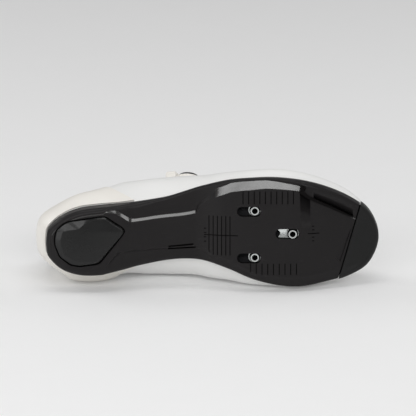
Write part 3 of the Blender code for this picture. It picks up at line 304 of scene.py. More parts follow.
@dataclass(frozen=True)
class ShoeForm:
    """Sizes and surfaces of the sole and the last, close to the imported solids', with a moulded edge past them."""

    sole_length: float = 285 * MM
    ball_width: float = 93 * MM
    instep_height: float = 104 * MM
    heel_thickness: float = 17 * MM
    arch_rise: float = 9.5 * MM
    toe_spring: float = 22 * MM
    gap: float = 0.35 * MM
    edge_round: float = 4.5 * MM
    edge_swell: float = 0.6 * MM
    swell_end: float = 0.46
    swell_fade: float = 0.10
    heel_swell: float = 0.05
    relief_depth: float = 2.8 * MM
    flank_width: float = 2.4 * MM
    crest_round: float = 0.45 * MM
    feather_inset: float = 0.7 * MM
    ridge_back: float = 38 * MM
    ridge_front: float = 240 * MM

    @cached_property
    def edges(self) -> dict[Side, np.ndarray]:
        """Dense outline of each side from heel tip to toe tip: x, y and outward normal."""
        heel = (0.0, -HEEL_TIP_LATERAL * self.ball_width)
        toe = (self.sole_length, -TOE_TIP_LATERAL * self.ball_width)
        lateral = [(s * self.sole_length, -a * self.ball_width) for s, a, _ in OUTLINE]
        medial = [(s * self.sole_length, b * self.ball_width) for s, _, b in OUTLINE]
        per_span = 24
        loop = spline_loop([heel, *lateral, toe, *reversed(medial)], per_span)
        tangent = unit(np.roll(loop, -1, axis=0) - np.roll(loop, 1, axis=0))
        normal = np.stack([tangent[:, 1], -tangent[:, 0]], axis=1)
        if normal[0, 0] > 0:
            normal = -normal
        turn = per_span * (len(OUTLINE) + 1)
        rows = np.hstack([loop, normal])
        return {
            Side.LATERAL: rows[: turn + 1],
            Side.MEDIAL: np.vstack([rows[:1], rows[turn:][::-1]]),
        }

    def outline(self, side: Side, station: float | np.ndarray) -> tuple[np.ndarray, np.ndarray]:
        """Plan points and outward normals of one side's outline.

        Args:
            side: the side.
            station: one or many shares of the sole's length.

        Returns:
            The points and the unit normals, with a last axis of two.
        """
        rows = self.edges[side]
        order = np.maximum.accumulate(rows[:, 0]) + np.arange(len(rows)) * 1e-12
        at = np.asarray(station) * self.sole_length
        found = np.stack([np.interp(at, order, rows[:, i]) for i in range(4)], axis=-1)
        return found[..., :2], unit(found[..., 2:])

    def ground(self, station: float | np.ndarray) -> float | np.ndarray:
        """Height of the sole's raised middle over the ground."""
        arch = PROFILE.at("arch", station) * self.arch_rise
        return arch + PROFILE.at("spring", station) * self.toe_spring

    def feather(self, station: float | np.ndarray) -> float | np.ndarray:
        """Height of the line where sole and upper meet."""
        return self.ground(station) + PROFILE.at("thickness", station) * self.heel_thickness

    def ridge(self, station: float | np.ndarray) -> np.ndarray:
        """Point of the last's ridge that the column at a station leads to."""
        x = self.ridge_back + (self.ridge_front - self.ridge_back) * np.asarray(station)
        share = x / self.sole_length
        y = -RIDGE.at("lateral", share) * self.ball_width
        return np.stack([x, y, RIDGE.at("height", share) * self.instep_height], axis=-1)

    def skin(self, side: Side, station: float | np.ndarray, climb: float | np.ndarray) -> np.ndarray:
        """Points of the upper's outer surface on one side.

        Args:
            side: the side.
            station: share of the sole's length at the foot of the column.
            climb: 0 at the sole to 1 at the ridge.

        Returns:
            The points, with a last axis of three.
        """
        s, c = np.broadcast_arrays(np.clip(station, 0, 1), np.asarray(climb, float))
        plan, normal = self.outline(side, s)
        floor = (self.feather(s) + self.gap)[..., None]
        foot = np.concatenate([plan - normal * self.feather_inset, floor], axis=-1)
        turn = np.pi / 2 * c
        share = np.stack([1 - np.cos(turn), 1 - np.cos(turn), np.sin(turn)], axis=-1)
        points = foot + (self.ridge(s) - foot) * share
        swell = SWELL.at(side.word, s) * self.ball_width
        fullest = SWELL.at("high_" + side.word, s) * self.instep_height
        rise = (points[..., 2] - foot[..., 2]) / fullest
        bulge = np.where(rise < 1, np.sin(np.pi / 2 * rise), rise * np.exp(1 - rise))
        points[..., :2] += normal * (swell * bulge * np.cos(turn))[..., None]
        return points

    def skin_normal(self, side: Side, station: float | np.ndarray, climb: float | np.ndarray) -> np.ndarray:
        """Outward unit normals of the upper's surface, taken within one side."""
        s, c = np.broadcast_arrays(np.asarray(station, float), np.asarray(climb, float))
        step = 1e-3
        along = self.skin(side, np.minimum(s + step, 1), c) - self.skin(side, np.maximum(s - step, 0), c)
        over = self.skin(side, s, np.minimum(c + step, 1)) - self.skin(side, s, np.maximum(c - step, 0))
        return unit(np.cross(over, along) * side)

    def over(self, station: float | np.ndarray, across: float | np.ndarray,
             lift: float | np.ndarray = 0.0) -> tuple[np.ndarray, np.ndarray]:
        """Points over the last and the normals there.

        Args:
            station: share of the sole's length.
            across: -1 at the lateral feather line over 0 at the ridge to 1 at the medial one.
            lift: distance outside the last's surface.

        Returns:
            The points and the outward unit normals, with a last axis of three.
        """
        s, place, raised = np.broadcast_arrays(
            np.asarray(station, float), np.asarray(across, float), np.asarray(lift, float))
        climb = 1 - np.abs(place)
        lateral = (place < 0)[..., None]
        shared = (climb > 1 - 1e-6) | (s < 1e-6) | (s > 1 - 1e-6)
        normals = {side: self.skin_normal(side, s, climb) for side in Side}
        both = unit(normals[Side.LATERAL] + normals[Side.MEDIAL])
        normal = np.where(lateral, normals[Side.LATERAL], normals[Side.MEDIAL])
        normal = np.where(shared[..., None], both, normal)
        point = np.where(lateral, self.skin(Side.LATERAL, s, climb), self.skin(Side.MEDIAL, s, climb))
        return point + normal * raised[..., None], normal

    def topline(self, side: Side, station: float | np.ndarray) -> float | np.ndarray:
        """Climb of the collar's and throat's edge."""
        return np.minimum(SWELL.at("top_" + side.word, station), 1.0)

    def reach(self, side: Side, station: np.ndarray, climb: np.ndarray) -> np.ndarray:
        """Length of the way up a column for one whole climb, read near one place."""
        step = 0.01
        ends = [self.skin(side, station, np.clip(climb + d, 0, 1)) for d in (-step, 0)]
        return np.linalg.norm(ends[1] - ends[0], axis=-1) / step

    def welt(self, side: Side, station: float) -> float:
        """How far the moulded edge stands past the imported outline."""
        back = min(max((self.swell_end - station) / self.swell_fade, 0.0), 1.0)
        waist = 0.0 if side is Side.MEDIAL else back
        return self.edge_swell * max(1.0 - waist, 1.0 - station / self.heel_swell)

    def sole_ring(self, station: float, grow: float = 0.0, sink: float = 0.0,
                  top: float | None = None) -> list[np.ndarray]:
        """Closed section of the sole, with round edges and a raised middle.

        Args:
            station: share of the sole's length.
            grow: how far the outline is pushed out.
            sink: how far the underside is lowered.
            top: height of the section's top, in the place of the feather line.

        Returns:
            The ring's points.
        """
        ground = float(self.ground(station)) - sink
        feather = float(self.feather(station))
        top = feather if top is None else top
        walls = {}
        for side in Side:
            plan, normal = self.outline(side, station)
            floor = ground + RELIEF.at(side.word + "_back", station) * self.relief_depth
            rounding = self.edge_round * (RELIEF.at("edge", station) if side < 0 else 1.0)
            edge = min(rounding, 0.6 * (feather - floor))
            out = grow + self.welt(side, station)
            wall = [np.array((*(plan + normal * out), top))]
            for turn in np.linspace(0, np.pi / 2, 8):
                spot = plan + normal * (out - edge * (1 - math.cos(turn)))
                wall.append(np.array((*spot, floor + edge * (1 - math.sin(turn)))))
            walls[side] = wall
        a, b = walls[Side.LATERAL][-1], walls[Side.MEDIAL][-1]
        width = max(b[1] - a[1], 1e-6)
        least = 0.004
        spans = {}
        for side in Side:
            flank = RELIEF.at(side.word + "_flank", station) * self.flank_width / width
            crest = (side * RELIEF.at(side.word, station) * self.ball_width - a[1]) / width
            if side is Side.LATERAL:
                crest = min(max(crest, flank + least), 0.46)
                spans[side] = (max(crest - flank, least), crest)
            else:
                crest = max(min(crest, 1 - flank - least), 0.54)
                spans[side] = (min(crest + flank, 1 - least), crest)

        def across(share: float, height: float) -> np.ndarray:
            """Point at a share of the way from the lateral edge to the medial one."""
            spot = a + (b - a) * share
            return np.array((spot[0], spot[1], height))

        lateral, medial = spans[Side.LATERAL], spans[Side.MEDIAL]
        run = [
            a, across(lateral[0], a[2]), across(lateral[1], ground), across(0.5, ground),
            across(medial[1], ground), across(medial[0], b[2]), b,
        ]
        lid = [walls[Side.MEDIAL][0] * (1 - f) + walls[Side.LATERAL][0] * f for f in (0.35, 0.65)]
        underside = soften(run, self.crest_round)[1:-1]
        return [*walls[Side.LATERAL], *underside, *reversed(walls[Side.MEDIAL]), *lid]


class Draft:
    """Skin or solid under construction in the shoe's frame, with a UV map in millimetres."""

    def __init__(self) -> None:
        """Starts an empty draft."""
        self.shape = bmesh.new()
        self.uv = self.shape.loops.layers.uv.new("surface")

    def grid(self, points: np.ndarray, slots: dict[int, int] | None = None) -> None:
        """Adds quads over a grid of points, unrolled by their distances.

        Args:
            points: rows of points, in an array of three axes.
            slots: material slot of the columns that don't take the first one.
        """
        rows, columns = points.shape[:2]
        along = np.linalg.norm(np.diff(points, axis=0), axis=2).mean(axis=1)
        over = np.linalg.norm(np.diff(points, axis=1), axis=2).mean(axis=0)
        u = np.concatenate([[0], np.cumsum(along)]) / MM
        v = np.concatenate([[0], np.cumsum(over)]) / MM
        corners = [[self.shape.verts.new(p) for p in row] for row in points]
        for i in range(rows - 1):
            for j in range(columns - 1):
                places = ((i, j), (i, j + 1), (i + 1, j + 1), (i + 1, j))
                face = self.shape.faces.new([corners[a][b] for a, b in places])
                face.material_index = (slots or {}).get(j, 0)
                for loop, (a, b) in zip(face.loops, places):
                    loop[self.uv].uv = (u[a], v[b])

    def loft(self, rings: Sequence[Sequence[np.ndarray]], caps: bool = True,
             slots: dict[int, int] | None = None) -> "Draft":
        """Adds a closed skin through rings of equal length.

        Args:
            rings: the rings, each a loop of points.
            caps: whether the first and last ring are closed by a face.
            slots: material slot of the columns that don't take the first one.

        Returns:
            This draft.
        """
        points = np.array([[*ring, ring[0]] for ring in rings], float)
        self.grid(points, slots)
        if caps:
            for ring in (rings[0], rings[-1]):
                self.shape.faces.new([self.shape.verts.new(p) for p in ring])
        return self.weld()

    def weld(self, distance: float = 1e-6) -> "Draft":
        """Joins points that meet, drops faces that collapsed and turns the faces outwards."""
        bmesh.ops.remove_doubles(self.shape, verts=self.shape.verts, dist=distance)
        bmesh.ops.dissolve_degenerate(self.shape, edges=self.shape.edges, dist=1e-7)
        bmesh.ops.recalc_face_normals(self.shape, faces=self.shape.faces)
        centre = sum((v.co for v in self.shape.verts), Vector()) / len(self.shape.verts)
        outward = sum(
            f.normal.dot(f.calc_center_median() - centre) * f.calc_area() for f in self.shape.faces
        )
        if outward < 0:
            bmesh.ops.reverse_faces(self.shape, faces=self.shape.faces)
        self.shape.normal_update()
        return self

    def shift(self, lift: float) -> "Draft":
        """Pushes an open skin out along its own normals."""
        for vertex, normal in [(v, v.normal.copy()) for v in self.shape.verts]:
            vertex.co += normal * lift
        self.shape.normal_update()
        return self

    def thicken(self, depth_of: Callable[[bmesh.types.BMVert], float], inner_slot: int = 0) -> "Draft":
        """Closes an open skin into a wall, by a second skin inside it and rims.

        Args:
            depth_of: wall thickness at a vertex.
            inner_slot: material slot of the inner skin.

        Returns:
            This draft.
        """
        faces = list(self.shape.faces)
        rims = [e for e in self.shape.edges if e.is_boundary]
        inner = {v: self.shape.verts.new(v.co - v.normal * depth_of(v)) for v in list(self.shape.verts)}
        for face in faces:
            made = self.shape.faces.new([inner[v] for v in reversed(face.verts)])
            made.material_index = inner_slot
            for loop, source in zip(made.loops, reversed(face.loops)):
                loop[self.uv].uv = source[self.uv].uv
        for edge in rims:
            first, second = edge.verts
            if edge.link_loops[0].vert != first:
                first, second = second, first
            self.shape.faces.new([second, first, inner[first], inner[second]])
        bmesh.ops.recalc_face_normals(self.shape, faces=self.shape.faces)
        return self

    def trim(self, place: Sequence[float], normal: Sequence[float]) -> "Draft":
        """Cuts away what lies beyond a plane."""
        geometry = [*self.shape.verts, *self.shape.edges, *self.shape.faces]
        bmesh.ops.bisect_plane(
            self.shape, geom=geometry, dist=1e-6, plane_co=place, plane_no=normal, clear_outer=True
        )
        return self

    def object(self, name: str, *finishes: "Finish") -> bpy.types.Object:
        """Makes an object of the draft and frees it.

        Args:
            name: the object's name.
            finishes: one finish for each material slot.

        Returns:
            The object, still in the shoe's frame.
        """
        mesh = bpy.data.meshes.new(name)
        self.shape.to_mesh(mesh)
        self.shape.free()
        for finish in finishes:
            mesh.materials.append(finish.material())
        made = bpy.data.objects.new(name, mesh)
        bpy.context.scene.collection.objects.link(made)
        return made


def turned(profile: Sequence[tuple[float, float]], sides: int, closed: bool = False,
           matrix: Matrix | None = None) -> Draft:
    """Body turned about an upright axis.

    Args:
        profile: radius and height pairs.
        sides: flats round the body.
        closed: whether the profile is a loop that stays off the axis.
        matrix: where the body goes.

    Returns:
        A welded draft.
    """
    angles = np.linspace(0, 2 * np.pi, sides, endpoint=False)
    rings = [np.stack([r * np.cos(angles), r * np.sin(angles), np.full(sides, z)], axis=1) for r, z in profile]
    if closed:
        rings.append(rings[0])
    draft = Draft().loft(rings, caps=not closed)
    if matrix is not None:
        draft.shape.transform(matrix)
    return draft


def prism(plan: Sequence[Sequence[float]], low: float, high: float) -> Draft:
    """Upright prism over a plan loop."""
    return Draft().loft([[np.array((p[0], p[1], z)) for p in plan] for z in (low, high)])


def slot_plan(x: float, y: float, half_length: float, radius: float) -> list[tuple[float, float]]:
    """Plan loop of a rounded slot whose length runs along X."""
    loop = []
    for turn, shift in ((-0.5, half_length), (0.5, -half_length)):
        for step in range(17):
            angle = math.pi * (turn + step / 16)
            loop.append((x + shift + radius * math.cos(angle), y + radius * math.sin(angle)))
    return loop


def sweep(path: np.ndarray, radius: float, sides: int = 12) -> Draft:
    """Round tube along a path, with closed ends.

    Args:
        path: the centreline's points.
        radius: the tube's radius.
        sides: flats round the tube.

    Returns:
        A welded draft.
    """
    ahead = unit(np.gradient(path, axis=0))
    first = unit(np.cross(ahead[0], (0.0, 0.3, 1.0)))
    rings = []
    angles = np.linspace(0, 2 * np.pi, sides, endpoint=False)[:, None]
    for spot, tangent in zip(path, ahead):
        first = unit(first - tangent * np.dot(first, tangent))
        second = np.cross(tangent, first)
        rings.append(spot + (first * np.cos(angles) + second * np.sin(angles)) * radius)
    return Draft().loft(rings)


def bake(piece: bpy.types.Object) -> bpy.types.Object:
    """Applies an object's modifiers to its mesh."""
    graph = bpy.context.evaluated_depsgraph_get()
    mesh = bpy.data.meshes.new_from_object(piece.evaluated_get(graph))
    mesh.name = piece.name
    piece.modifiers.clear()
    piece.data = mesh
    return piece


def carve(target: bpy.types.Object, tools: Iterable[bpy.types.Object],
          operation: str = "DIFFERENCE") -> bpy.types.Object:
    """Applies Booleans to an object and removes the tools.

    Args:
        target: the object that changes.
        tools: the objects that cut it, join it or bound it.
        operation: DIFFERENCE, UNION or INTERSECT.

    Returns:
        The target.
    """
    tools = list(tools)
    finishes = list(target.data.materials)
    for tool in tools:
        worn = [finishes.index(m) for m in tool.data.materials if m in finishes]
        if finishes and len(worn) < 2:
            tool.data.materials.clear()
            for finish in finishes:
                tool.data.materials.append(finish)
            tool.data.polygons.foreach_set("material_index", (worn or [0]) * len(tool.data.polygons))
        step = target.modifiers.new(tool.name, "BOOLEAN")
        step.object = tool
        step.operation = operation
        step.solver = "EXACT"
    bake(target)
    for tool in tools:
        bpy.data.objects.remove(tool)
    return target


def bevel(piece: bpy.types.Object, width: float, angle: float = 50, segments: int = 2) -> bpy.types.Object:
    """Rounds the edges that are sharper than an angle in degrees."""
    step = piece.modifiers.new("edge_round", "BEVEL")
    step.width = width
    step.segments = segments
    step.limit_method = "ANGLE"
    step.angle_limit = math.radians(angle)
    return bake(piece)


class Grain(Enum):
    """Small-scale surface of a finish."""

    MOULDED = "moulded"
    PEBBLE = "pebble"
    KNIT = "knit"
    BRUSHED = "brushed"
    BRAID = "braid"
    SMOOTH = "smooth"


@dataclass(frozen=True)
class Finish:
    """Procedural finish of a material, read from Object coordinates or the surface UV map."""

    name: str
    color: Color
    tint: Color
    rough: tuple[float, float]
    grain: Grain
    size: float = 0.6 * MM
    relief: float = 0.03 * MM
    metallic: float = 0.0
    sheen: float = 0.0
    coat: float = 0.0
    gloss: float = 0.5
    glow: float = 0.0
    scuffs: float = 0.0
    scuff_color: Color = (0.12, 0.12, 0.12)

    def material(self) -> bpy.types.Material:
        """The finish as a material, made at its first use."""
        known = bpy.data.materials.get(self.name)
        if known is not None:
            return known
        material = bpy.data.materials.new(self.name)
        material.use_nodes = True
        tree = material.node_tree
        shader = tree.nodes["Principled BSDF"]
        shader.inputs["Metallic"].default_value = self.metallic
        shader.inputs["Sheen Weight"].default_value = self.sheen
        shader.inputs["Coat Weight"].default_value = self.coat
        shader.inputs["Coat Roughness"].default_value = 0.25
        shader.inputs["Specular IOR Level"].default_value = self.gloss
        shader.inputs["Emission Color"].default_value = (1.0, 1.0, 1.0, 1.0)
        shader.inputs["Emission Strength"].default_value = self.glow
        place = tree.nodes.new("ShaderNodeTexCoord")
        cloud = self.noise(tree, place.outputs["Object"], 26 / 1.0, 3)
        color = self.mix(tree, cloud, self.color, self.tint)
        if self.scuffs:
            color = self.scuffed(tree, place.outputs["Object"], color)
        tree.links.new(color, shader.inputs["Base Color"])
        patches = self.noise(tree, place.outputs["Object"], 90, 4)
        tree.links.new(self.ranged(tree, patches, *self.rough), shader.inputs["Roughness"])
        bump = tree.nodes.new("ShaderNodeBump")
        bump.inputs["Distance"].default_value = self.relief
        bump.inputs["Strength"].default_value = 1.0
        tree.links.new(self.height(tree, place), bump.inputs["Height"])
        tree.links.new(bump.outputs["Normal"], shader.inputs["Normal"])
        return material

    def height(self, tree: bpy.types.NodeTree, place: bpy.types.Node) -> bpy.types.NodeSocket:
        """Height of the grain, from 0 to 1."""
        solid, flat = place.outputs["Object"], place.outputs["UV"]
        if self.grain is Grain.MOULDED:
            return self.noise(tree, solid, 1 / self.size, 2)
        if self.grain is Grain.PEBBLE:
            cells = tree.nodes.new("ShaderNodeTexVoronoi")
            cells.feature = "DISTANCE_TO_EDGE"
            cells.inputs["Scale"].default_value = 1 / self.size
            tree.links.new(solid, cells.inputs["Vector"])
            return self.ranged(tree, cells.outputs["Distance"], 0.0, 1.0, 0.0, 0.35)
        if self.grain is Grain.BRUSHED:
            stretch = tree.nodes.new("ShaderNodeMapping")
            stretch.inputs["Scale"].default_value = (0.08, 1.0, 1.0)
            tree.links.new(solid, stretch.inputs["Vector"])
            return self.noise(tree, stretch.outputs["Vector"], 1 / self.size, 2)
        if self.grain in (Grain.KNIT, Grain.BRAID):
            turn = math.pi / 4 if self.grain is Grain.BRAID else 0.0
            lay = tree.nodes.new("ShaderNodeMapping")
            lay.inputs["Rotation"].default_value = (0, 0, turn)
            tree.links.new(flat, lay.inputs["Vector"])
            bands = []
            for direction in ("X", "Y"):
                wave = tree.nodes.new("ShaderNodeTexWave")
                wave.bands_direction = direction
                wave.inputs["Scale"].default_value = MM / self.size * 0.32
                wave.inputs["Distortion"].default_value = 0.4
                tree.links.new(lay.outputs["Vector"], wave.inputs["Vector"])
                bands.append(wave.outputs["Fac"])
            product = tree.nodes.new("ShaderNodeMath")
            product.operation = "MULTIPLY"
            for socket, band in zip(product.inputs, bands):
                tree.links.new(band, socket)
            return product.outputs[0]
        return self.noise(tree, solid, 1 / self.size, 1)

    def scuffed(self, tree: bpy.types.NodeTree, place: bpy.types.NodeSocket,
                color: bpy.types.NodeSocket) -> bpy.types.NodeSocket:
        """Colour with thin pale scuffs that run along the shoe."""
        stretch = tree.nodes.new("ShaderNodeMapping")
        stretch.inputs["Scale"].default_value = (0.12, 1.0, 1.0)
        stretch.inputs["Rotation"].default_value = (0.1, 0.15, 0.3)
        tree.links.new(place, stretch.inputs["Vector"])
        lines = self.noise(tree, stretch.outputs["Vector"], 700, 3)
        amount = self.ranged(tree, lines, 0.0, self.scuffs, 0.62, 0.78)
        return self.mix(tree, amount, None, self.scuff_color, color)

    @staticmethod
    def noise(tree: bpy.types.NodeTree, place: bpy.types.NodeSocket, scale: float,
              detail: float) -> bpy.types.NodeSocket:
        """Noise at so many waves a metre."""
        node = tree.nodes.new("ShaderNodeTexNoise")
        node.inputs["Scale"].default_value = scale
        node.inputs["Detail"].default_value = detail
        tree.links.new(place, node.inputs["Vector"])
        return node.outputs["Fac"]

    @staticmethod
    def ranged(tree: bpy.types.NodeTree, value: bpy.types.NodeSocket, low: float, high: float,
               start: float = 0.3, end: float = 0.7) -> bpy.types.NodeSocket:
        """Value mapped from start and end to low and high."""
        node = tree.nodes.new("ShaderNodeMapRange")
        for name, number in (("From Min", start), ("From Max", end), ("To Min", low), ("To Max", high)):
            node.inputs[name].default_value = number
        tree.links.new(value, node.inputs["Value"])
        return node.outputs["Result"]

    @staticmethod
    def mix(tree: bpy.types.NodeTree, amount: bpy.types.NodeSocket, first: Color | None, second: Color,
            under: bpy.types.NodeSocket | None = None) -> bpy.types.NodeSocket:
        """Mix of two colours, the first of which may be a socket."""
        node = tree.nodes.new("ShaderNodeMix")
        node.data_type = "RGBA"
        tree.links.new(amount, node.inputs["Factor"])
        if under is None:
            node.inputs["A"].default_value = (*first, 1.0)
        else:
            tree.links.new(under, node.inputs["A"])
        node.inputs["B"].default_value = (*second, 1.0)
        return node.outputs["Result"]


SOLE_BLACK = Finish("moulded_sole", (0.0105, 0.0095, 0.0098), (0.0125, 0.0110, 0.0115), (0.36, 0.46),
                    Grain.MOULDED, 0.35 * MM, 0.012 * MM, gloss=0.22, scuffs=0.05)
FLANK_BLACK = Finish("satin_flank", (0.0120, 0.0110, 0.0100), (0.0140, 0.0125, 0.0115), (0.17, 0.23),
                     Grain.MOULDED, 0.35 * MM, 0.005 * MM, gloss=1.0, scuffs=0.04)
# Painted shade: darker than the sole, for the faces inside slots, pockets, vents, grooves and tread marks, and for
# the nuts' bores and relief grooves, where shade falls.
GROOVE_SHADE = Finish("groove_painted_shade", (0.0040, 0.0035, 0.0035), (0.0050, 0.0045, 0.0045), (0.80, 0.90),
                      Grain.MOULDED, 0.4 * MM, 0.010 * MM, gloss=0.1)
PAD_BLACK = Finish("heel_rubber", (0.0060, 0.0062, 0.0062), (0.0075, 0.0075, 0.0075), (0.25, 0.33),
                   Grain.MOULDED, 0.5 * MM, 0.006 * MM, gloss=0.38, scuffs=0.06)
TOE_BLACK = Finish("toe_rubber", (0.0085, 0.0088, 0.0088), (0.0105, 0.0105, 0.0105), (0.40, 0.50),
                   Grain.PEBBLE, 0.8 * MM, 0.012 * MM, gloss=0.25, scuffs=0.06)
WHITE_SKIN = Finish("white_microfibre", (0.86, 0.86, 0.85), (0.80, 0.80, 0.785), (0.40, 0.52),
                    Grain.PEBBLE, 0.9 * MM, 0.02 * MM)
WHITE_FILM = Finish("white_overlay", (0.88, 0.88, 0.87), (0.84, 0.84, 0.83), (0.30, 0.40),
                    Grain.MOULDED, 0.5 * MM, 0.01 * MM, coat=0.15)
WHITE_THREAD = Finish("white_thread", (0.78, 0.78, 0.76), (0.70, 0.70, 0.68), (0.6, 0.7),
                      Grain.BRUSHED, 0.2 * MM, 0.02 * MM, sheen=0.3)
HEEL_CUP = Finish("warm_white_cup", (0.85, 0.825, 0.775), (0.81, 0.785, 0.735), (0.32, 0.44),
                  Grain.MOULDED, 0.6 * MM, 0.012 * MM, coat=0.1)
LINING = Finish("grey_lining", (0.10, 0.10, 0.105), (0.075, 0.075, 0.08), (0.75, 0.9),
                Grain.KNIT, 0.55 * MM, 0.10 * MM, sheen=0.4)
TONGUE_KNIT = Finish("tongue_mesh", (0.66, 0.66, 0.65), (0.60, 0.60, 0.59), (0.65, 0.8),
                     Grain.KNIT, 0.6 * MM, 0.12 * MM, sheen=0.3)
FOOTBED = Finish("footbed_cover", (0.022, 0.022, 0.024), (0.016, 0.016, 0.018), (0.8, 0.92),
                 Grain.KNIT, 0.5 * MM, 0.08 * MM, sheen=0.15, gloss=0.2)
HOLE_SHADE = Finish("hole_shade", (0.10, 0.10, 0.10), (0.07, 0.07, 0.07), (0.8, 0.9), Grain.SMOOTH)
ZINC = Finish("zinc_plate", (0.84, 0.87, 0.86), (0.74, 0.77, 0.76), (0.24, 0.36),
              Grain.BRUSHED, 0.25 * MM, 0.008 * MM, metallic=1.0)
LACE_CORD = Finish("woven_lace", (0.48, 0.48, 0.48), (0.36, 0.36, 0.37), (0.5, 0.65),
                   Grain.BRAID, 0.35 * MM, 0.08 * MM, sheen=0.3)
DIAL_BLACK = Finish("dial_black", (0.02, 0.02, 0.022), (0.03, 0.03, 0.03), (0.28, 0.40),
                    Grain.MOULDED, 0.4 * MM, 0.01 * MM, coat=0.3)
FLOOR_WHITE = Finish("studio_floor", (0.86, 0.86, 0.86), (0.85, 0.85, 0.85), (0.6, 0.7), Grain.SMOOTH,
                     glow=0.06)


class Shape(Enum):
    """What a repeater sets down, each one unit across before it is sized."""

    BOX = "GeometryNodeMeshCube"
    BEAD = "GeometryNodeMeshUVSphere"
    DISC = "GeometryNodeMeshCylinder"


class Layout(Enum):
    """How a repeater reads its seeds."""

    SCATTER = "one copy at each seed"
    PATH = "copies at a pitch along the seeds' lines"


@dataclass
class Repeater:
    """Sets small copies of one shape down with Geometry Nodes."""

    shape: Shape
    layout: Layout
    size: tuple[float, float, float]
    pitch: float = 3 * MM

    def tree(self, finish: Finish) -> bpy.types.NodeTree:
        """Node tree with named inputs for the copies' sizes and pitch.

        Args:
            finish: the copies' material.

        Returns:
            The tree.
        """
        tree = bpy.data.node_groups.new("repeat_" + self.shape.name.lower(), "GeometryNodeTree")
        tree.interface.new_socket("Geometry", in_out="INPUT", socket_type="NodeSocketGeometry")
        for name in ("Length", "Width", "Height", "Pitch"):
            tree.interface.new_socket(name, in_out="INPUT", socket_type="NodeSocketFloat")
        tree.interface.new_socket("Geometry", in_out="OUTPUT", socket_type="NodeSocketGeometry")
        link = tree.links.new
        given = tree.nodes.new("NodeGroupInput").outputs
        facing = tree.nodes.new("GeometryNodeInputNamedAttribute")
        facing.data_type = "FLOAT_VECTOR"
        facing.inputs["Name"].default_value = "facing"
        if self.layout is Layout.PATH:
            curve = tree.nodes.new("GeometryNodeMeshToCurve")
            paced = tree.nodes.new("GeometryNodeResampleCurve")
            paced.mode = "LENGTH"
            link(given["Geometry"], curve.inputs["Mesh"])
            link(curve.outputs["Curve"], paced.inputs["Curve"])
            link(given["Pitch"], paced.inputs["Length"])
            seeds = paced.outputs["Curve"]
            heading = tree.nodes.new("GeometryNodeInputTangent").outputs["Tangent"]
        else:
            seeds = given["Geometry"]
            named = tree.nodes.new("GeometryNodeInputNamedAttribute")
            named.data_type = "FLOAT_VECTOR"
            named.inputs["Name"].default_value = "heading"
            heading = named.outputs["Attribute"]
        turn = tree.nodes.new("FunctionNodeAxesToRotation")
        turn.primary_axis, turn.secondary_axis = "Z", "X"
        link(facing.outputs["Attribute"], turn.inputs["Primary Axis"])
        link(heading, turn.inputs["Secondary Axis"])
        solid = tree.nodes.new(self.shape.value)
        if self.shape is Shape.BEAD:
            solid.inputs["Segments"].default_value = 8
            solid.inputs["Rings"].default_value = 5
            solid.inputs["Radius"].default_value = 0.5
        elif self.shape is Shape.DISC:
            solid.inputs["Vertices"].default_value = 12
            solid.inputs["Radius"].default_value = 0.5
            solid.inputs["Depth"].default_value = 1.0
        sized = tree.nodes.new("ShaderNodeCombineXYZ")
        for axis, name in zip("XYZ", ("Length", "Width", "Height")):
            link(given[name], sized.inputs[axis])
        stretched = tree.nodes.new("GeometryNodeTransform")
        link(solid.outputs["Mesh"], stretched.inputs["Geometry"])
        link(sized.outputs["Vector"], stretched.inputs["Scale"])
        copies = tree.nodes.new("GeometryNodeInstanceOnPoints")
        link(seeds, copies.inputs["Points"])
        link(stretched.outputs["Geometry"], copies.inputs["Instance"])
        link(turn.outputs["Rotation"], copies.inputs["Rotation"])
        real = tree.nodes.new("GeometryNodeRealizeInstances")
        link(copies.outputs["Instances"], real.inputs["Geometry"])
        dressed = tree.nodes.new("GeometryNodeSetMaterial")
        dressed.inputs["Material"].default_value = finish.material()
        link(real.outputs["Geometry"], dressed.inputs["Geometry"])
        link(dressed.outputs["Geometry"], tree.nodes.new("NodeGroupOutput").inputs["Geometry"])
        return tree

    def make(self, name: str, runs: Sequence[np.ndarray], facing: Sequence[np.ndarray], finish: Finish,
             heading: Sequence[np.ndarray] | None = None) -> bpy.types.Object:
        """Copies on seeds, as one plain mesh.

        Args:
            name: the object's name.
            runs: lines of seed points.
            facing: the outward direction at each seed.
            finish: the copies' finish.
            heading: the direction of each copy's length, for a scatter.

        Returns:
            The object, still in the shoe's frame.
        """
        seeds = bpy.data.meshes.new(name)
        points = np.vstack(runs)
        edges = []
        start = 0
        for run in runs:
            if self.layout is Layout.PATH:
                edges += [(start + i, start + i + 1) for i in range(len(run) - 1)]
            start += len(run)
        seeds.from_pydata(points.tolist(), edges, [])
        given = {"facing": facing, "heading": heading if heading is not None else facing}
        for label, vectors in given.items():
            layer = seeds.attributes.new(label, "FLOAT_VECTOR", "POINT")
            layer.data.foreach_set("vector", np.vstack(vectors).astype(np.float32).ravel())
        made = bpy.data.objects.new(name, seeds)
        bpy.context.scene.collection.objects.link(made)
        step = made.modifiers.new("copies", "NODES")
        step.node_group = self.tree(finish)
        values = dict(zip(("Length", "Width", "Height"), self.size), Pitch=self.pitch)
        for socket in step.node_group.interface.items_tree:
            if socket.in_out == "INPUT" and socket.name in values:
                step[socket.identifier] = values[socket.name]
        return bake(made)


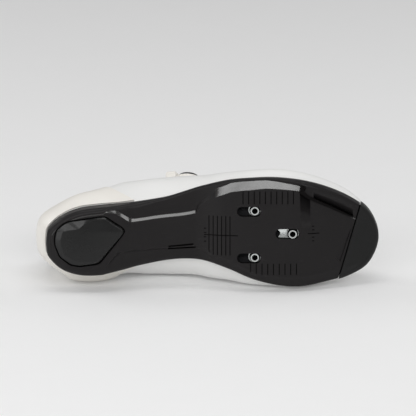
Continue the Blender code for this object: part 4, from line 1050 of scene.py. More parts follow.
class Bench:
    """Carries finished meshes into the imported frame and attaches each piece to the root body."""

    def __init__(self) -> None:
        """Reads the shoe's pose from two mounts on the sole's ground plane."""
        mounts = {mount["name"]: mount for mount in frame["record"]["mounts"]}
        heel, ball = (Vector(mounts[name]["pos_m"]) for name in ("heel_pad_face", "cleat_land"))
        up = -Vector(mounts["cleat_land"]["axis"]).normalized()
        ahead = (ball - heel).normalized()
        ahead = (ahead - up * ahead.dot(up)).normalized()
        side = up.cross(ahead)
        heel_x, heel_y = 40 * MM, 4 * MM
        origin = heel - ahead * heel_x - side * heel_y
        self.pose = Matrix.Translation(origin) @ Matrix((ahead, side, up)).transposed().to_4x4()

    def world(self, point: Sequence[float]) -> Vector:
        """Point of the shoe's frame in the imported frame."""
        return self.pose @ Vector(point)

    def deliver(self, piece: bpy.types.Object, slot: str, replaces: Sequence[str] = (),
                crease: float = 35, fill: float | None = None) -> bpy.types.Object:
        """Lays a piece down with the shoe, shades it, attaches it to the root body and logs it.

        Args:
            piece: the piece, in the shoe's frame.
            slot: the record's material slot.
            replaces: CAD nodes that it stands for.
            crease: angle in degrees past which an edge stays crisp.
            fill: how full a padded piece is, or None for any other; not used.

        Returns:
            The piece.
        """
        piece.data.transform(self.pose)
        piece.data.update()
        piece.data.shade_smooth()
        piece.data.set_sharp_from_angle(angle=math.radians(crease))
        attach(piece, "root")
        if replaces:
            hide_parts(*replaces)
        LOG.info("%s: %d faces, slot %s", piece.name, len(piece.data.polygons), slot)
        return piece

    def crisp(self, piece: bpy.types.Object, least: float = 1.5, most: float = 20) -> bpy.types.Object:
        """Keeps the shallow edges between facets that face the ground crisp.

        Args:
            piece: a delivered piece.
            least: angle in degrees past which such an edge is crisp.
            most: how far in degrees a facet may lie from level.

        Returns:
            The piece.
        """
        down = self.pose.to_3x3() @ Vector((0, 0, -1))
        shape = bmesh.new()
        shape.from_mesh(piece.data)
        for edge in shape.edges:
            level = all(face.normal.angle(down, math.pi) < math.radians(most) for face in edge.link_faces)
            if level and edge.calc_face_angle(0) > math.radians(least):
                edge.smooth = False
        shape.to_mesh(piece.data)
        shape.free()
        return piece


@dataclass
class TickRow:
    """Row of short grooves in the tread, each across the shoe unless it runs along it."""

    first: float
    pitch: float
    count: int
    low: float
    high: float
    along: bool = False


@dataclass
class Outsole:
    """Moulded plate with its slots, pockets, vents, grooves and tread marks."""

    form: ShoeForm
    bench: Bench
    sections: int = 300
    dull: tuple[float, float] = (0.453, 0.508)
    bolt_to_toe: float = 105.6 * MM
    bolt_reach: float = 32.6 * MM
    bolt_spacing: float = 40.9 * MM
    bolt_offset: float = 7.3 * MM
    slot_width: float = 8.6 * MM
    slot_length: float = 20.6 * MM
    slot_back: float = 15.4 * MM
    front_slot_back: float = 14.9 * MM
    slot_drop: float = 0.5 * MM
    pocket_depth: float = 2.4 * MM
    pocket_margin: float = 5 * MM
    pad_length: float = 59.5 * MM
    pad_width: float = 42.5 * MM
    pad_start: float = 7.3 * MM
    pad_recess: float = 3.2 * MM
    pad_margin: float = 1.3 * MM
    pad_corner: float = 2.2 * MM
    bumper_reach: float = 16.4 * MM
    bumper_slant: float = 16.4
    bumper_skin: float = 2.6 * MM
    line_width: float = 2.0 * MM
    tick_width: float = 0.8 * MM
    tick_depth: float = 0.8 * MM
    ticks: tuple[TickRow, ...] = (
        TickRow(139.9 * MM, 3.62 * MM, 6, -23.0 * MM, 11.6 * MM),
        TickRow(169.2 * MM, 4.83 * MM, 10, -45.2 * MM, -33.9 * MM),
        TickRow(175.7 * MM, 4.95 * MM, 9, 18.2 * MM, 28.2 * MM),
        TickRow(-11.6 * MM, 3.8 * MM, 4, 135.4 * MM, 137.6 * MM, True),
        TickRow(-14.0 * MM, 3.2 * MM, 5, 228.7 * MM, 230.7 * MM, True),
    )
    rules: tuple[tuple[float, float, float], ...] = ((135.6, 164.9, -6.0), (225.0, 235.0, -7.7))
    toe_groove: tuple[tuple[float, float], ...] = (
        (221.6, -49.2), (219.3, -44.4), (226.0, -39.4), (244.9, -30.1), (264.1, -19.9),
    )
    toe_recess: tuple[tuple[float, float], ...] = ((263.2, -11.5), (253.0, 18.8), (249.0, 14.4), (256.6, 2.3))
    vents: tuple[tuple[float, float, float, float], ...] = (
        (104.5, 7.3, 128.5, 5.8), (105.0, 5.0, 126.5, 2.7),
    )

    def bolts(self) -> tuple[tuple[str, float, float], ...]:
        """Name and plan place of each cleat bolt."""
        rear = self.form.sole_length - self.bolt_to_toe
        half = self.bolt_spacing / 2
        return (
            ("rear_lateral", rear, -self.bolt_offset - half),
            ("rear_medial", rear, -self.bolt_offset + half),
            ("front", rear + self.bolt_reach, -self.bolt_offset),
        )

    def slot_middle(self, name: str, x: float, y: float) -> tuple[float, float]:
        """Plan middle of the slot that one bolt slides in."""
        if name == "front":
            return x - self.front_slot_back + self.slot_length / 2, y - self.slot_drop
        return x - self.slot_back + self.slot_length / 2, y + self.slot_drop

    def nut_floor(self, x: float) -> float:
        """Height of the pocket floor that a nut's flange lies on."""
        return float(self.form.feather(x / self.form.sole_length)) - self.pocket_depth

    def pad_spot(self, along: float, lateral: float) -> np.ndarray:
        """Plan point from shares of the heel pad's length and width."""
        return np.array((self.pad_start + along * self.pad_length, -lateral * self.pad_width))

    def pad_plan(self, grow: float) -> list[np.ndarray]:
        """Corners of the heel pad's outline, pushed out by grow."""
        middle = self.pad_spot(0.5, 0.0)
        plan = [self.pad_spot(*row[:2]) for row in PAD_CORNERS]
        return [p + unit(p - middle) * grow for p in plan]

    def toe_form(self, grow: float, sink: float, rise: float) -> Draft:
        """Sole form ahead of the waist, grown and carried up past the feather line."""
        rings = []
        for station in spread(0.70, 1.0, 90):
            if station >= 0.8:
                top = float(self.form.feather(station)) + rise
                rings.append(self.form.sole_ring(station, grow, sink, top))
        return Draft().loft(rings)

    def slant(self, shift: float) -> Draft:
        """Block that covers the toe ahead of the bumper's slanted rear edge."""
        angle = math.radians(self.bumper_slant)
        along = np.array((math.cos(angle), math.sin(angle)))
        across = np.array((-math.sin(angle), math.cos(angle)))
        start = self.line_start() + along * shift
        reach = 0.2
        plan = [start - across * reach, start + across * reach]
        plan += [plan[1] + along * reach, plan[0] + along * reach]
        return prism(plan, -reach / 2, reach / 2)

    def line_start(self) -> np.ndarray:
        """Lateral point of the bumper's rear edge."""
        return np.array((self.form.sole_length - self.bumper_reach, -0.28 * self.form.ball_width))

    def groove(self, floor: BVHTree, path: np.ndarray, width: float, depth: float,
               end: float = 1.0) -> Draft:
        """Cutter for a groove that follows the underside along a plan path.

        Args:
            floor: the underside that the groove follows.
            path: the groove's plan points.
            width: its width at the surface.
            depth: its depth.
            end: share of the width that is left where the path ends.

        Returns:
            The cutter.
        """
        fine = np.vstack([np.linspace(a, b, 8, endpoint=False) for a, b in zip(path, path[1:])] + [path[-1:]])
        tangent = unit(np.gradient(fine, axis=0))
        side = np.stack([-tangent[:, 1], tangent[:, 0]], axis=1)
        rings = []
        for spot, out, size in zip(fine, side, width * np.linspace(1, end, len(fine))):
            level = self.level(floor, spot)
            wide, narrow = out * size * 0.62, out * size * 0.40
            rings.append([
                np.array((*(spot - wide), level - depth)), np.array((*(spot + wide), level - depth)),
                np.array((*(spot + narrow), level + depth)), np.array((*(spot - narrow), level + depth)),
            ])
        return Draft().loft(rings)

    @staticmethod
    def level(floor: BVHTree, spot: Sequence[float]) -> float:
        """Height of the underside over a plan point."""
        hit = floor.ray_cast(Vector((spot[0], spot[1], -0.1)), Vector((0, 0, 1)))[0]
        return hit.z if hit is not None else 0.0

    def tread(self, floor: BVHTree) -> list[bpy.types.Object]:
        """Cutters for the fine tread marks, set down by Geometry Nodes, and for the two rules."""
        tools = []
        for number, row in enumerate(self.ticks):
            middle = (row.low + row.high) / 2
            spots, facing = [], []
            for place in row.first + row.pitch * np.arange(row.count):
                spot = (middle, place) if row.along else (place, middle)
                _, normal, _, _ = floor.ray_cast(Vector((*spot, -0.1)), Vector((0, 0, 1)))
                spots.append((*spot, self.level(floor, spot)))
                facing.append(tuple(normal))
            heading = np.tile((1.0, 0, 0) if row.along else (0, 1.0, 0), (row.count, 1))
            size = (row.high - row.low, self.tick_width, 2 * self.tick_depth)
            maker = Repeater(Shape.BOX, Layout.SCATTER, size)
            name = f"tread_marks_{number}"
            # The marks carry painted shade onto the faces that they cut.
            tools.append(maker.make(name, [np.array(spots)], [np.array(facing)], GROOVE_SHADE, [heading]))
        for start, end, across in self.rules:
            run = np.array(((start, across), (end, across))) * MM
            rule = self.groove(floor, run, self.tick_width, self.tick_depth)
            tools.append(rule.object("tread_rule", GROOVE_SHADE))
        return tools

    def build(self) -> bpy.types.Object:
        """Builds the plate and delivers it.

        Returns:
            The plate.
        """
        stations = np.unique(np.concatenate([spread(0, 1, self.sections), RELIEF.stations]))
        flanks = {column: 1 for column in range(11, 16)}
        body = Draft().loft([self.form.sole_ring(s) for s in stations], slots=flanks)
        low, high = (share * self.form.sole_length for share in self.dull)
        for face in body.shape.faces:
            if low < face.calc_center_median().x < high:
                face.material_index = 0
        floor = BVHTree.FromBMesh(body.shape)
        # Faces left by the cutters take the third finish, painted shade darker than the sole.
        plate = body.object("outsole_plate", SOLE_BLACK, FLANK_BLACK, GROOVE_SHADE)
        tools = []
        # Slots, pockets, vents and the toe groove carry painted shade onto the faces that they cut.
        for name, x, y in self.bolts():
            middle = self.slot_middle(name, x, y)
            straight = (self.slot_length - self.slot_width) / 2
            hole = slot_plan(*middle, straight, self.slot_width / 2)
            tools.append(prism(hole, -0.05, 0.05).object("slot_" + name, GROOVE_SHADE))
            hole = slot_plan(*middle, straight, self.slot_width / 2 + self.pocket_margin)
            pocket = prism(hole, self.nut_floor(middle[0]), 0.05)
            tools.append(pocket.object("nut_pocket_" + name, GROOVE_SHADE))
        ceiling = float(self.form.ground(self.pad_start / self.form.sole_length + 0.1)) + self.pad_recess
        plan = soften(self.pad_plan(self.pad_margin), self.pad_corner, True)
        tools.append(prism(plan, -0.05, ceiling).object("heel_pocket", GROOVE_SHADE))
        for x0, y0, x1, y1 in self.vents:
            run = np.array(((x0, y0), (x1, y1))) * MM
            tools.append(self.groove(floor, run, 1.5 * MM, 2.2 * MM).object("vent", GROOVE_SHADE))
        groove = self.groove(floor, np.array(self.toe_groove) * MM, 3.2 * MM, 1.8 * MM, 0.3)
        tools.append(groove.object("toe_groove", GROOVE_SHADE))
        recess = [np.array(p) * MM for p in self.toe_recess]
        low = min(self.level(floor, p) for p in recess)
        tools.append(self.recess(floor, recess, 0.9 * MM, low).object("toe_recess"))
        carve(plate, tools)
        tall = self.form.heel_thickness
        clearance = self.toe_form(self.bumper_skin, self.bumper_skin, tall).object("clearance")
        inset = -self.bumper_skin - self.form.gap
        core = self.toe_form(inset, inset, tall).object("toe_core")
        carve(clearance, [core])
        carve(clearance, [self.slant(-0.12 * MM).object("toe_front")], "INTERSECT")
        carve(plate, [clearance, *self.tread(floor)])
        return self.bench.crisp(self.bench.deliver(plate, "moulded_plate", ["outsole"], crease=14))

    def recess(self, floor: BVHTree, plan: Sequence[np.ndarray], depth: float, low: float) -> Draft:
        """Cutter for a shallow recess whose floor follows the underside."""
        loop = soften(plan, 1.2 * MM, True)
        under = [np.array((*p, low - 0.01)) for p in loop]
        over = [np.array((*p, self.level(floor, p) + depth)) for p in loop]
        return Draft().loft([under, over])


@dataclass
class HeelPad:
    """Rubber pad set into the heel, with bevelled flanks round its wearing face."""

    form: ShoeForm
    bench: Bench
    sole: Outsole
    bevel_height: float = 2.2 * MM
    edge: float = 0.5 * MM

    def build(self) -> bpy.types.Object:
        """Builds the pad, whose wearing face has shallow facets round one point, and delivers it."""
        share = self.sole.pad_start / self.form.sole_length + 0.1
        top = float(self.form.ground(share)) + self.sole.pad_recess - self.form.gap
        plan = self.sole.pad_plan(0.1 * MM)
        face = [np.array((*self.sole.pad_spot(*row[2:4]), row[4] * MM)) for row in PAD_CORNERS]
        rings = [soften(face, self.sole.pad_corner / 2, True)]
        for height in (self.bevel_height, top):
            rings.append([np.array((*p, height)) for p in soften(plan, self.sole.pad_corner, True)])
        rings.insert(0, [np.array((*self.sole.pad_spot(*PAD_APEX), 0.0))] * len(rings[0]))
        piece = bevel(Draft().loft(rings).object("heel_pad_rubber", PAD_BLACK), self.edge, 40, 3)
        return self.bench.crisp(self.bench.deliver(piece, "rubber", ["heel_pad"], crease=9))


@dataclass
class ToeBumper:
    """Rubber bumper wrapped round the toe and up over the feather line."""

    form: ShoeForm
    bench: Bench
    sole: Outsole
    proud: float = 0.9 * MM
    bulge: float = 0.8 * MM
    guard: float = 7 * MM
    edge: float = 0.45 * MM

    def build(self, last: Draft) -> bpy.types.Object:
        """Builds the bumper and delivers it.

        Args:
            last: the form of the upper, which trims the bumper's inside.

        Returns:
            The bumper.
        """
        rings = []
        for station in spread(0.70, 1.0, 110):
            if station >= 0.8:
                rise = self.guard * max(0.0, (station - 0.86) / 0.14) ** 0.7
                top = float(self.form.feather(station)) + rise
                rings.append(self.form.sole_ring(station, self.bulge, self.proud, top))
        bumper = Draft().loft(rings).object("toe_bumper_rubber", TOE_BLACK)
        skin = self.sole.bumper_skin
        core = self.sole.toe_form(-skin, -skin, self.form.heel_thickness).object("bumper_core")
        carve(bumper, [core, last.object("last_form")])
        carve(bumper, [self.sole.slant(self.sole.line_width / 2).object("bumper_front")], "INTERSECT")
        return self.bench.deliver(bumper, "rubber", ["toe_bumper"], crease=32)


@dataclass
class CleatNuts:
    """Threaded nuts of plated steel in the three slots."""

    form: ShoeForm
    bench: Bench
    sole: Outsole
    flange_thickness: float = 1.5 * MM
    flange_radius: float = 5.6 * MM
    barrel_radius: float = 3.85 * MM
    relief_radius: float = 4.75 * MM
    relief_depth: float = 1.1 * MM
    thread_radius: float = 2.25 * MM
    thread_pitch: float = 0.8 * MM
    thread_depth: float = 0.35 * MM
    recess: float = 0.8 * MM
    chamfer: float = 0.3 * MM
    plate_length: float = 18.6 * MM
    plate_back: float = 3.3 * MM
    plate_width: float = 12 * MM
    notch_radius: float = 2.7 * MM

    def profile(self, tip: float, seat: float, flange: float) -> list[tuple[float, float]]:
        """Closed profile of a nut with its threaded bore.

        Args:
            tip: height of the barrel's open end.
            seat: height of the flange's lower face.
            flange: the flange's radius.

        Returns:
            Radius and height pairs.
        """
        top = seat + self.flange_thickness
        c = self.chamfer
        outside = [
            (self.thread_radius + c, tip), (self.barrel_radius - c, tip), (self.barrel_radius, tip + c),
            (self.barrel_radius, seat + self.relief_depth), (self.relief_radius, seat + self.relief_depth),
            (self.relief_radius, seat), (flange - c / 2, seat), (flange, seat + c / 2),
            (flange, top - c / 2), (flange - c / 2, top), (self.thread_radius + c, top),
        ]
        turns = int((top - tip - 2 * c) / self.thread_pitch)
        bore = []
        for i in range(turns):
            height = top - c - i * self.thread_pitch
            bore.append((self.thread_radius, height))
            bore.append((self.thread_radius + self.thread_depth, height - self.thread_pitch / 2))
        return [*outside, *bore, (self.thread_radius, tip + c)]

    def build(self) -> list[bpy.types.Object]:
        """Builds the nuts and delivers them."""
        nuts = []
        for name, x, y in self.sole.bolts():
            seat = self.sole.nut_floor(self.sole.slot_middle(name, x, y)[0]) + self.form.gap
            tip = float(self.form.ground(x / self.form.sole_length)) + self.recess
            place = Matrix.Translation((x, y, 0))
            flange = self.relief_radius + 0.4 * MM if name == "front" else self.flange_radius
            draft = turned(self.profile(tip, seat, flange), 56, True)
            for face in draft.shape.faces:
                radius = face.calc_center_median().xy.length
                shaded_relief = self.barrel_radius - 0.01 * MM < radius < self.relief_radius + 0.01 * MM
                # The threaded bore and the relief groove take painted shade, darker than the zinc.
                face.material_index = int(radius < self.thread_radius + self.thread_depth or shaded_relief)
            draft.shape.transform(place)
            nut = draft.object("nut_" + name, ZINC, GROOVE_SHADE)
            if name == "front":
                back, front = (x - self.plate_back + end * self.plate_length / 2 for end in (-1, 1))
                half = self.plate_width / 2
                spots = ((back, y - half), (front, y - half), (front, y + half), (back, y + half))
                corners = [np.array(spot) for spot in spots]
                plan = soften(corners, 1.5 * MM, True)
                plate = prism(plan, seat, seat + self.flange_thickness).object("nut_plate", ZINC)
                holes = []
                bores = ((x, self.relief_radius + 0.15 * MM), (back - 0.9 * MM, self.notch_radius))
                for middle, radius in bores:
                    hole = [(radius, seat - 1 * MM), (radius, seat + 4 * MM)]
                    spot = Matrix.Translation((middle, y, 0))
                    holes.append(turned(hole, 40, False, spot).object("nut_bore"))
                carve(plate, holes)
                bevel(plate, 0.2 * MM)
                carve(nut, [plate], "UNION")
            nuts.append(self.bench.deliver(nut, "zinc_steel", ["cleat_nut_" + name], crease=30))
        return nuts


@dataclass
class Upper:
    """White wall of the upper with its overlays, seams, pinholes and collar padding."""

    form: ShoeForm
    bench: Bench
    wall: float = 1.8 * MM
    collar_pad: float = 3.2 * MM
    rows: int = 30
    columns: int = 170
    overlay: float = 0.45 * MM
    eyestay_width: float = 12 * MM
    stitch: tuple[float, float, float] = (2.1 * MM, 0.55 * MM, 0.42 * MM)
    stitch_pitch: float = 2.9 * MM
    pinhole: float = 1.1 * MM

    def skin(self, stations: np.ndarray, shares: np.ndarray, lift: float = 0.0) -> Draft:
        """Open skin over both sides.

        Args:
            stations: shares of the sole's length.
            shares: heights as shares of the way from the sole to the topline.
            lift: distance outside the wall's surface.

        Returns:
            The welded skin.
        """
        draft = Draft()
        for side in Side:
            climbs = self.form.topline(side, stations)[:, None] * shares[None, :]
            draft.grid(self.form.skin(side, stations[:, None], climbs))
        draft.weld()
        return draft.shift(lift) if lift else draft

    def last_form(self, lift: float) -> Draft:
        """Closed form of the whole last, pushed out by lift."""
        sides = self.form.over(spread(0, 1, 130)[:, None], np.linspace(-1, 1, 41)[None, :], lift)[0]
        soles = (sides[:, :1] + sides[:, -1:]) / 2 - np.array((0, 0, 2 * lift))
        return Draft().loft(np.concatenate([sides, soles], axis=1), caps=False)

    def build_shell(self) -> bpy.types.Object:
        """Main wall, lined on its inside."""
        shares = np.linspace(0, 1, self.rows + 1) ** 1.15
        draft = self.skin(spread(0, 1, self.columns), shares)
        shell = draft.thicken(lambda v: self.wall, inner_slot=1).object("upper_shell", WHITE_SKIN, LINING)
        bevel(shell, 0.45 * MM, 55, 2)
        return self.bench.deliver(shell, "white_synthetic", ["upper"], crease=60)

    def eyestay_climbs(self, side: Side, stations: np.ndarray, inset: float) -> np.ndarray:
        """Climb of the eyestay's lower edge, drawn in by inset."""
        top = self.form.topline(side, stations)
        return top - (self.eyestay_width - inset) / self.form.reach(side, stations, top)

    def build_eyestay(self) -> bpy.types.Object:
        """Overlay along both edges of the throat, joined ahead of it."""
        stations = np.linspace(0.345, 0.775, 90)
        rows = np.linspace(0, 1, 9)[None, :]
        draft = Draft()
        for side in Side:
            top = self.form.topline(side, stations)[:, None]
            low = self.eyestay_climbs(side, stations, 0.0)[:, None]
            draft.grid(self.form.skin(side, stations[:, None], low + (top - low) * rows))
        draft.weld().shift(self.overlay)
        piece = draft.thicken(lambda v: self.overlay + 0.15 * MM).object("eyestay_overlay", WHITE_FILM)
        bevel(piece, 0.25 * MM, 50, 2)
        return self.bench.deliver(piece, "white_synthetic", crease=50)

    def build_piping(self) -> bpy.types.Object:
        """Rolled binding along the collar's edge."""
        stations = spread(0, 0.70, 100)[:51]
        runs = [self.form.skin(side, stations, self.form.topline(side, stations)) for side in Side]
        inner = [self.form.skin_normal(side, stations, self.form.topline(side, stations)) for side in Side]
        middles = [run - normal * self.wall * 0.5 for run, normal in zip(runs, inner)]
        path = np.vstack([middles[0][::-1], middles[1][1:]])
        piece = sweep(path, 1.25 * MM, 14).object("collar_binding", WHITE_THREAD)
        return self.bench.deliver(piece, "white_synthetic", crease=60)

    def build_collar(self) -> bpy.types.Object:
        """Padded lining inside the collar, quilted once along its middle."""
        stations = spread(0, 0.68, 120)[:61]
        rows = np.linspace(0.30, 0.985, 22)
        draft = self.skin(stations, rows, -self.wall - 0.08 * MM)
        heights = {}
        for side in Side:
            tops = self.form.skin(side, stations, self.form.topline(side, stations))
            feet = self.form.skin(side, stations, 0.30 * self.form.topline(side, stations))
            heights[side] = (tops[:, 0], feet[:, 2], tops[:, 2])

        def depth(vertex: bmesh.types.BMVert) -> float:
            """Thickness of the padding.

            Args:
                vertex: vertex of the skin.

            Returns:
                The thickness there.
            """
            side = Side.LATERAL if vertex.co.y < 0 else Side.MEDIAL
            x, feet, tops = heights[side]
            foot, top = np.interp(vertex.co.x, x, feet), np.interp(vertex.co.x, x, tops)
            share = min(max((vertex.co.z - foot) / (top - foot), 0.0), 1.0)
            puff = math.sin(math.pi * share) ** 0.45
            seam = 1 - 0.45 * math.exp(-((share - 0.5) / 0.07) ** 2)
            fade = min(1.0, max(0.15, (95 * MM - vertex.co.x) / (22 * MM)))
            return 0.5 * MM + self.collar_pad * puff * seam * fade

        piece = draft.thicken(depth).object("collar_padding", LINING)
        return self.bench.deliver(piece, "foam", crease=70, fill=0.8)

    def build_seams(self) -> bpy.types.Object:
        """Stitches along the eyestay and the collar."""
        runs, facing = [], []
        for side in Side:
            along = np.linspace(0.36, 0.765, 90)
            for inset in (2.2 * MM, 4.4 * MM):
                climbs = self.eyestay_climbs(side, along, inset)
                runs.append(self.form.skin(side, along, climbs))
                facing.append(self.form.skin_normal(side, along, climbs))
            collar = spread(0, 0.66, 80)[:41]
            climbs = self.form.topline(side, collar) - 4.2 * MM / self.form.reach(
                side, collar, self.form.topline(side, collar))
            runs.append(self.form.skin(side, collar, climbs))
            facing.append(self.form.skin_normal(side, collar, climbs))
        lifted = [run + normal * (0.5 * MM if i % 3 < 2 else 0.05 * MM)
                  for i, (run, normal) in enumerate(zip(runs, facing))]
        maker = Repeater(Shape.BEAD, Layout.PATH, self.stitch, self.stitch_pitch)
        piece = maker.make("upper_stitches", lifted, facing, WHITE_THREAD)
        return self.bench.deliver(piece, "white_synthetic", crease=80)

    def build_pinholes(self) -> bpy.types.Object:
        """Pinholes in rows over the vamp and both quarters, as thin discs of painted shade laid on the surface."""
        spots, facing = [], []
        for column, station in enumerate(np.linspace(0.80, 0.93, 9)):
            reach = 0.62 - 1.6 * (station - 0.80)
            count = 11 - column // 2
            for across in np.linspace(-reach, reach, count) + (column % 2) * 0.028:
                spot, normal = self.form.over(station, across, 0.01 * MM)
                spots.append(spot)
                facing.append(normal)
        for side in Side:
            for row, share in enumerate((0.40, 0.47, 0.54)):
                for station in np.linspace(0.50, 0.66, 12) + (row % 2) * 0.007:
                    climb = share * self.form.topline(side, station)
                    normal = self.form.skin_normal(side, station, climb)
                    spots.append(self.form.skin(side, station, climb) + normal * 0.01 * MM)
                    facing.append(normal)
        heading = np.tile((1.0, 0.0, 0.0), (len(spots), 1))
        maker = Repeater(Shape.DISC, Layout.SCATTER, (self.pinhole, self.pinhole, 0.08 * MM))
        piece = maker.make("pinholes", [np.array(spots)], [np.array(facing)], HOLE_SHADE, [heading])
        return self.bench.deliver(piece, "foam", crease=40)

    def build(self) -> None:
        """Builds and delivers every piece of the upper."""
        self.build_shell()
        self.build_eyestay()
        self.build_piping()
        self.build_collar()
        self.build_seams()
        self.build_pinholes()


@dataclass
class HeelCounter:
    """Moulded heel cup over the upper."""

    form: ShoeForm
    bench: Bench
    upper: Upper
    thickness: float = 1.2 * MM
    top: float = 0.64
    lateral: float = 0.262
    medial: float = 0.270
    slope: float = 0.9

    def build(self) -> bpy.types.Object:
        """Builds the cup and delivers it."""
        shares = np.linspace(0, 1, 44)
        stations = spread(0, 0.72, 130)[:67]
        draft = self.upper.skin(stations, shares, self.form.gap + self.thickness)
        foot = self.form.heel_thickness + self.form.arch_rise / 5
        half = self.form.ball_width * 0.4
        lateral = Vector((self.lateral * self.form.sole_length, -half, foot))
        medial = Vector((self.medial * self.form.sole_length, half, foot))
        front = Vector((-1.0, 0.0, self.slope)).cross(medial - lateral).normalized()
        if front.x < 0:
            front = -front
        draft.trim(lateral, front)
        draft.trim((0, 0, self.top * self.form.instep_height), (0, 0, 1))
        draft.trim((0, 0, foot + 3 * self.form.gap), Vector((-0.02, 0, -1)).normalized())
        bmesh.ops.remove_doubles(draft.shape, verts=draft.shape.verts, dist=0.1 * MM)
        draft.shape.normal_update()
        cup = draft.thicken(lambda v: self.thickness).object("heel_cup", HEEL_CUP)
        bevel(cup, 0.4 * MM, 50, 3)
        return self.bench.deliver(cup, "heel_cup_plastic", ["heel_counter"], crease=50)


@dataclass
class Tongue:
    """Padded tongue under the throat, quilted across."""

    form: ShoeForm
    bench: Bench
    wall: float = 1.8 * MM
    thickness: float = 3.5 * MM
    half: float = 0.40
    channels: int = 7

    def build(self) -> bpy.types.Object:
        """Builds the tongue and delivers it."""
        station = np.linspace(0.30, 0.75, 130)[:, None]
        share = np.linspace(-1, 1, 41)[None, :]
        half = self.half * (0.72 + 0.28 * np.clip((station - 0.30) / 0.12, 0, 1))
        half *= 1 - 0.35 * np.clip((station - 0.66) / 0.09, 0, 1)
        ripple = np.abs(np.sin(math.pi * self.channels * (station - 0.30) / 0.36)) ** 0.35
        fade = np.clip((0.68 - station) / 0.05, 0, 1)
        crown = np.clip(1 - (share / 0.62) ** 2, 0, 1) ** 0.6
        lift = -self.wall - 3 * self.form.gap + 1.1 * MM * ripple * crown * fade
        grid = self.form.over(station, half * share, lift)[0]
        draft = Draft()
        draft.grid(grid)
        draft.weld()
        piece = draft.thicken(lambda v: self.thickness).object("tongue_padding", TONGUE_KNIT)
        bevel(piece, 0.9 * MM, 50, 3)
        return self.bench.deliver(piece, "white_synthetic", ["tongue"], crease=60, fill=0.7)


@dataclass
class Insole:
    """Foam footbed with a knitted cover, dished across its middle."""

    form: ShoeForm
    bench: Bench
    thickness: float = 3.4 * MM
    inset: float = 5.0 * MM

    def build(self) -> bpy.types.Object:
        """Builds the footbed and delivers it."""
        rings = []
        for station in spread(0.002, 0.998, 120):
            ends = []
            for side in Side:
                plan, normal = self.form.outline(side, station)
                ends.append(plan - normal * self.inset)
            shares = np.linspace(0, 1, 25)
            floor, face = [], []
            for share in shares:
                x, y = ends[0] + (ends[1] - ends[0]) * share
                base = float(self.form.feather(x / self.form.sole_length)) + self.form.gap
                dish = 0.9 * MM * math.sin(math.pi * share)
                floor.append(np.array((x, y, base)))
                face.append(np.array((x, y, base + self.thickness - dish)))
            rings.append([*floor, *reversed(face)])
        piece = bevel(Draft().loft(rings).object("footbed", FOOTBED), 0.7 * MM, 55, 3)
        return self.bench.deliver(piece, "foam", ["insole"], crease=60, fill=0.9)


class Seat:
    """Place on the upper's surface for a fitting: Z stands on the surface, X runs to the toe."""

    def __init__(self, form: ShoeForm, surface: BVHTree, station: float, across: float) -> None:
        """Finds the seat.

        Args:
            form: the shoe's form.
            surface: the upper's outer surface.
            station: share of the sole's length.
            across: -1 lateral to 1 medial.
        """
        point, normal = form.over(station, across)
        along = form.over(min(station + 0.01, 1), across)[0] - point
        along = unit(along - normal * np.dot(along, normal))
        over = np.cross(normal, along)
        self.matrix = Matrix.Translation(Vector(point)) @ Matrix((along, over, normal)).transposed().to_4x4()
        self.surface = surface

    def drop(self, x: float, y: float) -> float:
        """Local height of the surface under a local point."""
        start = self.matrix @ Vector((x, y, 0.012))
        down = self.matrix.to_3x3() @ Vector((0, 0, -1))
        hit = self.surface.ray_cast(start, down)[0]
        return (self.matrix.inverted() @ hit).z if hit is not None else 0.0

    def turned(self, profile: Sequence[tuple[float, float]], sides: int, sink: float = 0.1 * MM) -> Draft:
        """Turned fitting whose foot follows the surface.

        Args:
            profile: radius and height pairs; the first one is the foot.
            sides: flats round it.
            sink: how far the foot goes into the surface.

        Returns:
            The draft, in the shoe's frame.
        """
        rings = []
        for i, (radius, height) in enumerate(profile):
            ring = []
            for angle in np.linspace(0, 2 * np.pi, sides, endpoint=False):
                x, y = radius * math.cos(angle), radius * math.sin(angle)
                z = self.drop(x, y) - sink if i == 0 else height
                ring.append(np.array(self.matrix @ Vector((x, y, z))))
            rings.append(ring)
        return Draft().loft(rings)


